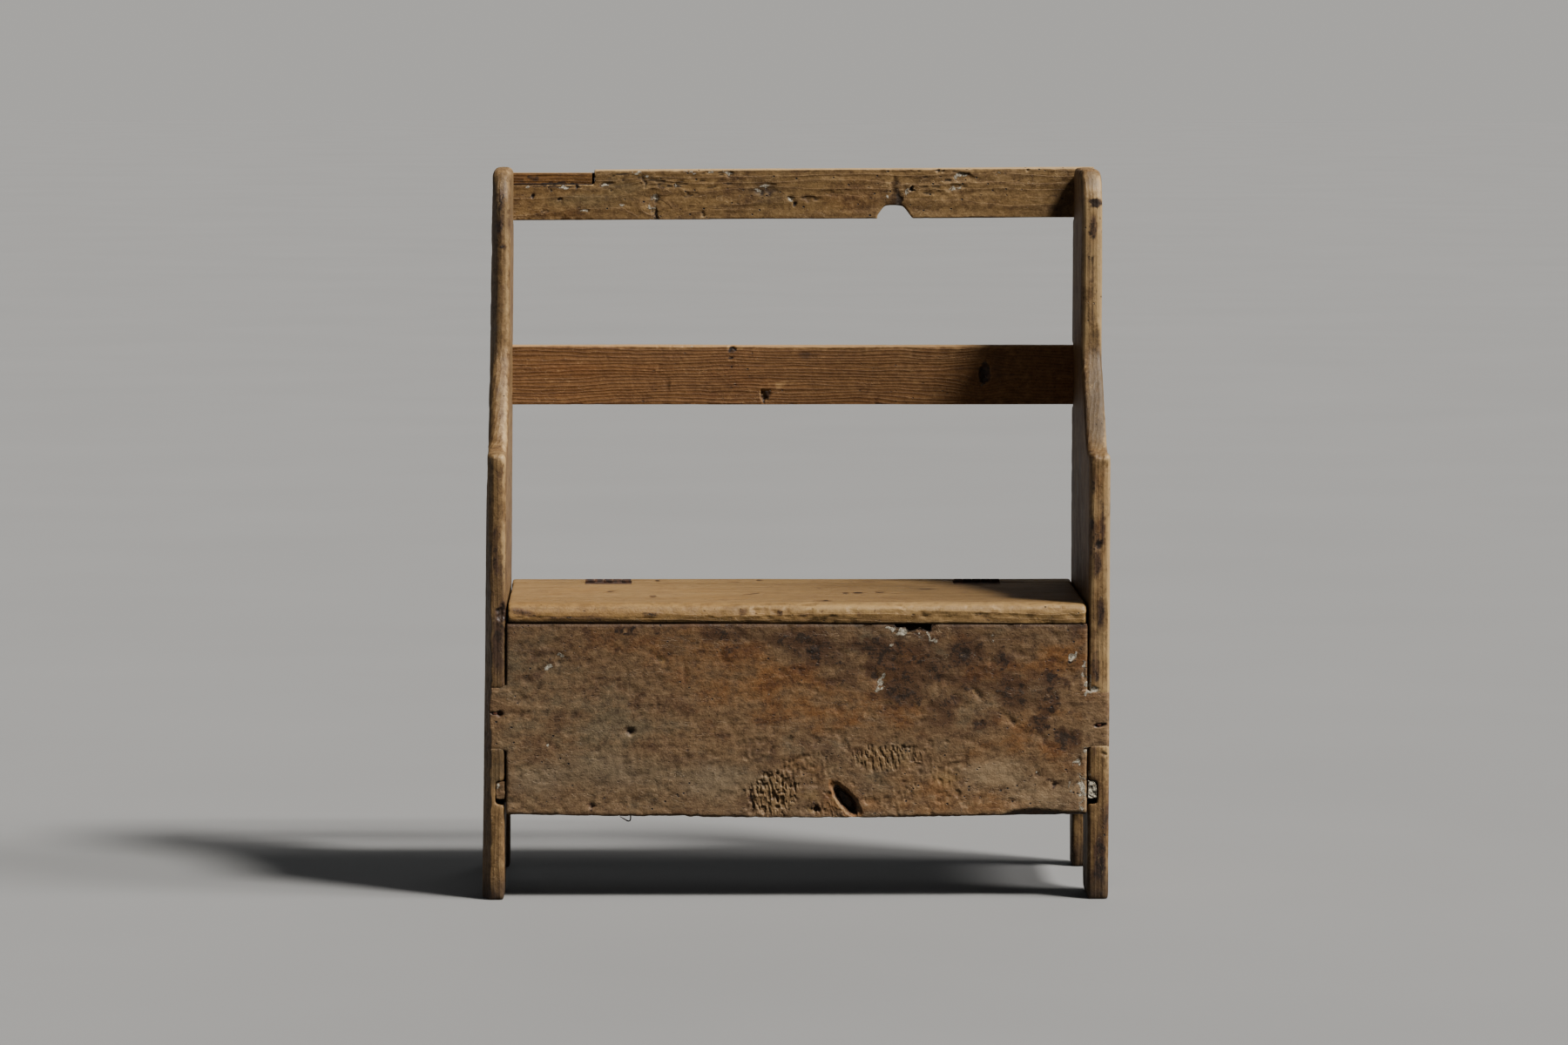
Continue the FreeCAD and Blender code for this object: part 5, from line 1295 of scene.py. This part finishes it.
def scatter_tree():
    """Sets one shape on every point, turned to the point's way out, with a random turn, lean and size."""
    tree = bpy.data.node_groups.new("iron set in wood", "GeometryNodeTree")
    face = tree.interface
    face.new_socket("Geometry", in_out="INPUT", socket_type="NodeSocketGeometry")
    for name, kind in (("Shape", "Object"), ("Iron", "Material"), ("Lean", "Float"), ("Seed", "Int")):
        face.new_socket(name, in_out="INPUT", socket_type="NodeSocket" + kind)
    face.new_socket("Geometry", in_out="OUTPUT", socket_type="NodeSocketGeometry")

    def node(kind, settings=None, values=None, out=0):
        return add_node(tree, kind, settings, values).outputs[out]

    given = add_node(tree, "NodeGroupInput").outputs
    lean, seed, three = given["Lean"], given["Seed"], {"data_type": "FLOAT_VECTOR"}
    way = node("GeometryNodeInputNamedAttribute", three, {"Name": "way_out"})
    shape = node("GeometryNodeObjectInfo", None, {"Object": given["Shape"]}, "Geometry")
    aim = node("FunctionNodeAlignRotationToVector", {"axis": "Z"}, {"Vector": way})
    back = node("ShaderNodeMath", {"operation": "MULTIPLY"}, {0: lean, 1: -1.0})
    low = node("ShaderNodeCombineXYZ", None, {0: back, 1: back, 2: 0.0})
    high = node("ShaderNodeCombineXYZ", None, {0: lean, 1: lean, 2: 2 * math.pi})
    turn = node("FunctionNodeRandomValue", three, {0: low, 1: high, "Seed": seed})
    turn = node("FunctionNodeEulerToRotation", None, {0: turn})
    set_at = node("FunctionNodeRotateRotation", {"rotation_space": "LOCAL"},
                  {"Rotation": aim, "Rotate By": turn})
    size = node("FunctionNodeRandomValue", {"data_type": "FLOAT"}, {2: 0.9, 3: 1.0, "Seed": seed}, 1)
    girth = node("ShaderNodeCombineXYZ", None, {0: size, 1: size, 2: 1.0})
    spread = node("GeometryNodeInstanceOnPoints", None, {
        "Points": given["Geometry"], "Instance": shape, "Rotation": set_at, "Scale": girth})
    real = node("GeometryNodeRealizeInstances", None, {"Geometry": spread})
    iron = node("GeometryNodeSetMaterial", None, {"Geometry": real, "Material": given["Iron"]})
    add_node(tree, "NodeGroupOutput", None, {0: iron})
    return tree


def head_places(nodes):
    """Each nail's or screw's head in some CAD nodes: the middle of its top, and the way it faces."""
    places, ways = [], []
    for island in (each for name in nodes for each in islands(name)):
        low, high = island.min(0), island.max(0)
        middle, axis = (low + high) / 2, int(np.argmax(high - low))
        others = [k for k in range(3) if k != axis]
        beyond = island[:, axis] > middle[axis]
        to_high = np.ptp(island[beyond], axis=0)[others].sum() > np.ptp(island[~beyond], axis=0)[others].sum()
        middle[axis] = high[axis] if to_high else low[axis]
        places.append(middle)
        ways.append(np.eye(3)[axis] * (1.0 if to_high else -1.0))
    order = np.lexsort(np.array(places).T)
    return np.array(places)[order], np.array(ways)[order]


def set_iron(tree, name, nodes, shape, material, body, lean, seed, below):
    """Sets a shape at each head in some CAD nodes, below millimetres deeper than it."""
    places, ways = head_places(nodes)
    mesh = bpy.data.meshes.new(name + "_places")
    mesh.from_pydata([tuple(p) for p in places - below * MM * ways], [], [])
    layer = mesh.attributes.new("way_out", "FLOAT_VECTOR", "POINT")
    layer.data.foreach_set("vector", ways.astype(np.float32).ravel())
    thing = plain_object(mesh, name + "_places")
    grown = thing.modifiers.new("iron", "NODES")
    grown.node_group = tree
    wanted = {"Shape": shape, "Iron": material, "Lean": lean, "Seed": seed}
    for item in tree.interface.items_tree:
        if item.in_out == "INPUT" and item.name in wanted:
            grown[item.identifier] = wanted[item.name]
    piece = plain_object(evaluated_mesh(thing), name)
    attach(piece, body)
    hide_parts(*nodes)


def all_iron():
    tree = scatter_tree()
    nail, brad = nail_shape("nail_shape", 3.7, 50, 1.6), nail_shape("brad_shape", 1.5, 12, 0.6)
    screw = screw_shape()
    nailed = [part + "_nails" for part in (
        "front_board", "top_rail", "middle_rail", "back_board", "floor_board", "seat_strip")]
    set_iron(tree, "frame_nails", nailed, nail, NAIL_IRON, "frame", 0.02, 4, 0.5)
    set_iron(tree, "patch_brad_set", ["patch_brads"], brad, NAIL_IRON, "frame", 0.02, 5, 0.25)
    for body, part in (("frame", "strip"), ("lid", "lid")):
        nodes = [f"{side}_hinge_{part}_screws" for side in ("left", "right")]
        set_iron(tree, part + "_leaf_screws", nodes, screw, HINGE_IRON, body, 0.0, 6, 0.0)
    for shape in (nail, brad, screw):
        bpy.data.objects.remove(shape)
    bent = Board("bent_nail", 0.3, stopped=False)
    bent.sink(0.06 + 0.12 * unevenness(bent.co, 2, 141))
    bent.finish("bent_nail_wire", NAIL_IRON, "frame", "nail_iron")


# ------------------------------------------------------------------ floor and light
FLOOR_HALF, BACKDROP_RADIUS = 60.0, 58.0


def stage_floor():
    mesh = bpy.data.meshes.new("studio_floor")
    corners = [(x * FLOOR_HALF, y * FLOOR_HALF, 0) for x, y in ((-1, -1), (1, -1), (1, 1), (-1, 1))]
    mesh.from_pydata(corners, [], [(0, 1, 2, 3)])
    floor = plain_object(mesh, "studio_floor")
    f = Finish("pale plain floor")
    cloud = f.noise(f.place, 1.3, 3.0)
    colour = f.mix(cloud, tint(122, 122, 121), tint(128, 128, 127))
    roughness = 0.9 + (cloud - 0.5) * 0.1
    mesh.materials.append(f.shade(colour, roughness, f.noise(f.place, 40.0, 3.0), shine=0.0, relief=0.2))
    floor.visible_diffuse = False
    # a plain pale backdrop far behind, which only the camera sees
    whole = bmesh.new()
    bmesh.ops.create_uvsphere(whole, u_segments=48, v_segments=24, radius=BACKDROP_RADIUS)
    bmesh.ops.reverse_faces(whole, faces=whole.faces)
    backdrop = object_from(whole, "studio_backdrop")
    pale = empty_material("backdrop, plain pale")
    glow = add_node(pale.node_tree, "ShaderNodeEmission", None, {"Color": tint(180, 178, 174)})
    add_node(pale.node_tree, "ShaderNodeOutputMaterial", None, {"Surface": glow.outputs[0]})
    backdrop.data.materials.append(pale)
    for ray in ("diffuse", "glossy", "shadow", "transmission"):
        setattr(backdrop, "visible_" + ray, False)


def lamp(name, turn, height, softness, power, colour):
    """A far soft light, turn degrees round to the right from the front and height degrees up."""
    data = bpy.data.lights.new(name, "SUN")
    data.angle, data.energy, data.color = math.radians(softness), power, colour
    light = bpy.data.objects.new(name, data)
    a, e = math.radians(turn), math.radians(height)
    out = Vector((math.sin(a) * math.cos(e), -math.cos(a) * math.cos(e), math.sin(e)))
    light.rotation_mode = "QUATERNION"
    light.rotation_quaternion = out.to_track_quat("Z", "Y")
    bpy.context.scene.collection.objects.link(light)
    return light


def studio_light():
    world = bpy.data.worlds.new("studio")
    world.use_nodes = True
    background = world.node_tree.nodes["Background"].inputs
    background["Color"].default_value, background["Strength"].default_value = (0.62, 0.64, 0.66, 1), 0.06
    bpy.context.scene.world = world
    lamp("key_light", 56, 54, 11.0, 5.9, (1.0, 0.97, 0.93))
    lamp("side_light", 76, 36, 20.0, 3.0, (1.0, 0.97, 0.94))
    lamp("fill_light", -10, 25, 60.0, 0.1, (0.95, 0.97, 1.0))
    # this one shows the back; mirrored in the seat, it would lay a haze on it
    lamp("back_light", 170, 12, 50.0, 1.5, (0.95, 0.97, 1.0)).visible_glossy = False
    lamp("left_light", 270, 4, 25.0, 0.5, (0.95, 0.97, 1.0))


for step in (make_camera, stage_floor, studio_light, left_side, right_side, top_rail, middle_rail,
             top_rail_patch, seat_lid, seat_back_strip, front_board, back_board, floor_board, slot_fillers):
    step()
hinge_iron("left")
hinge_iron("right")
all_iron()
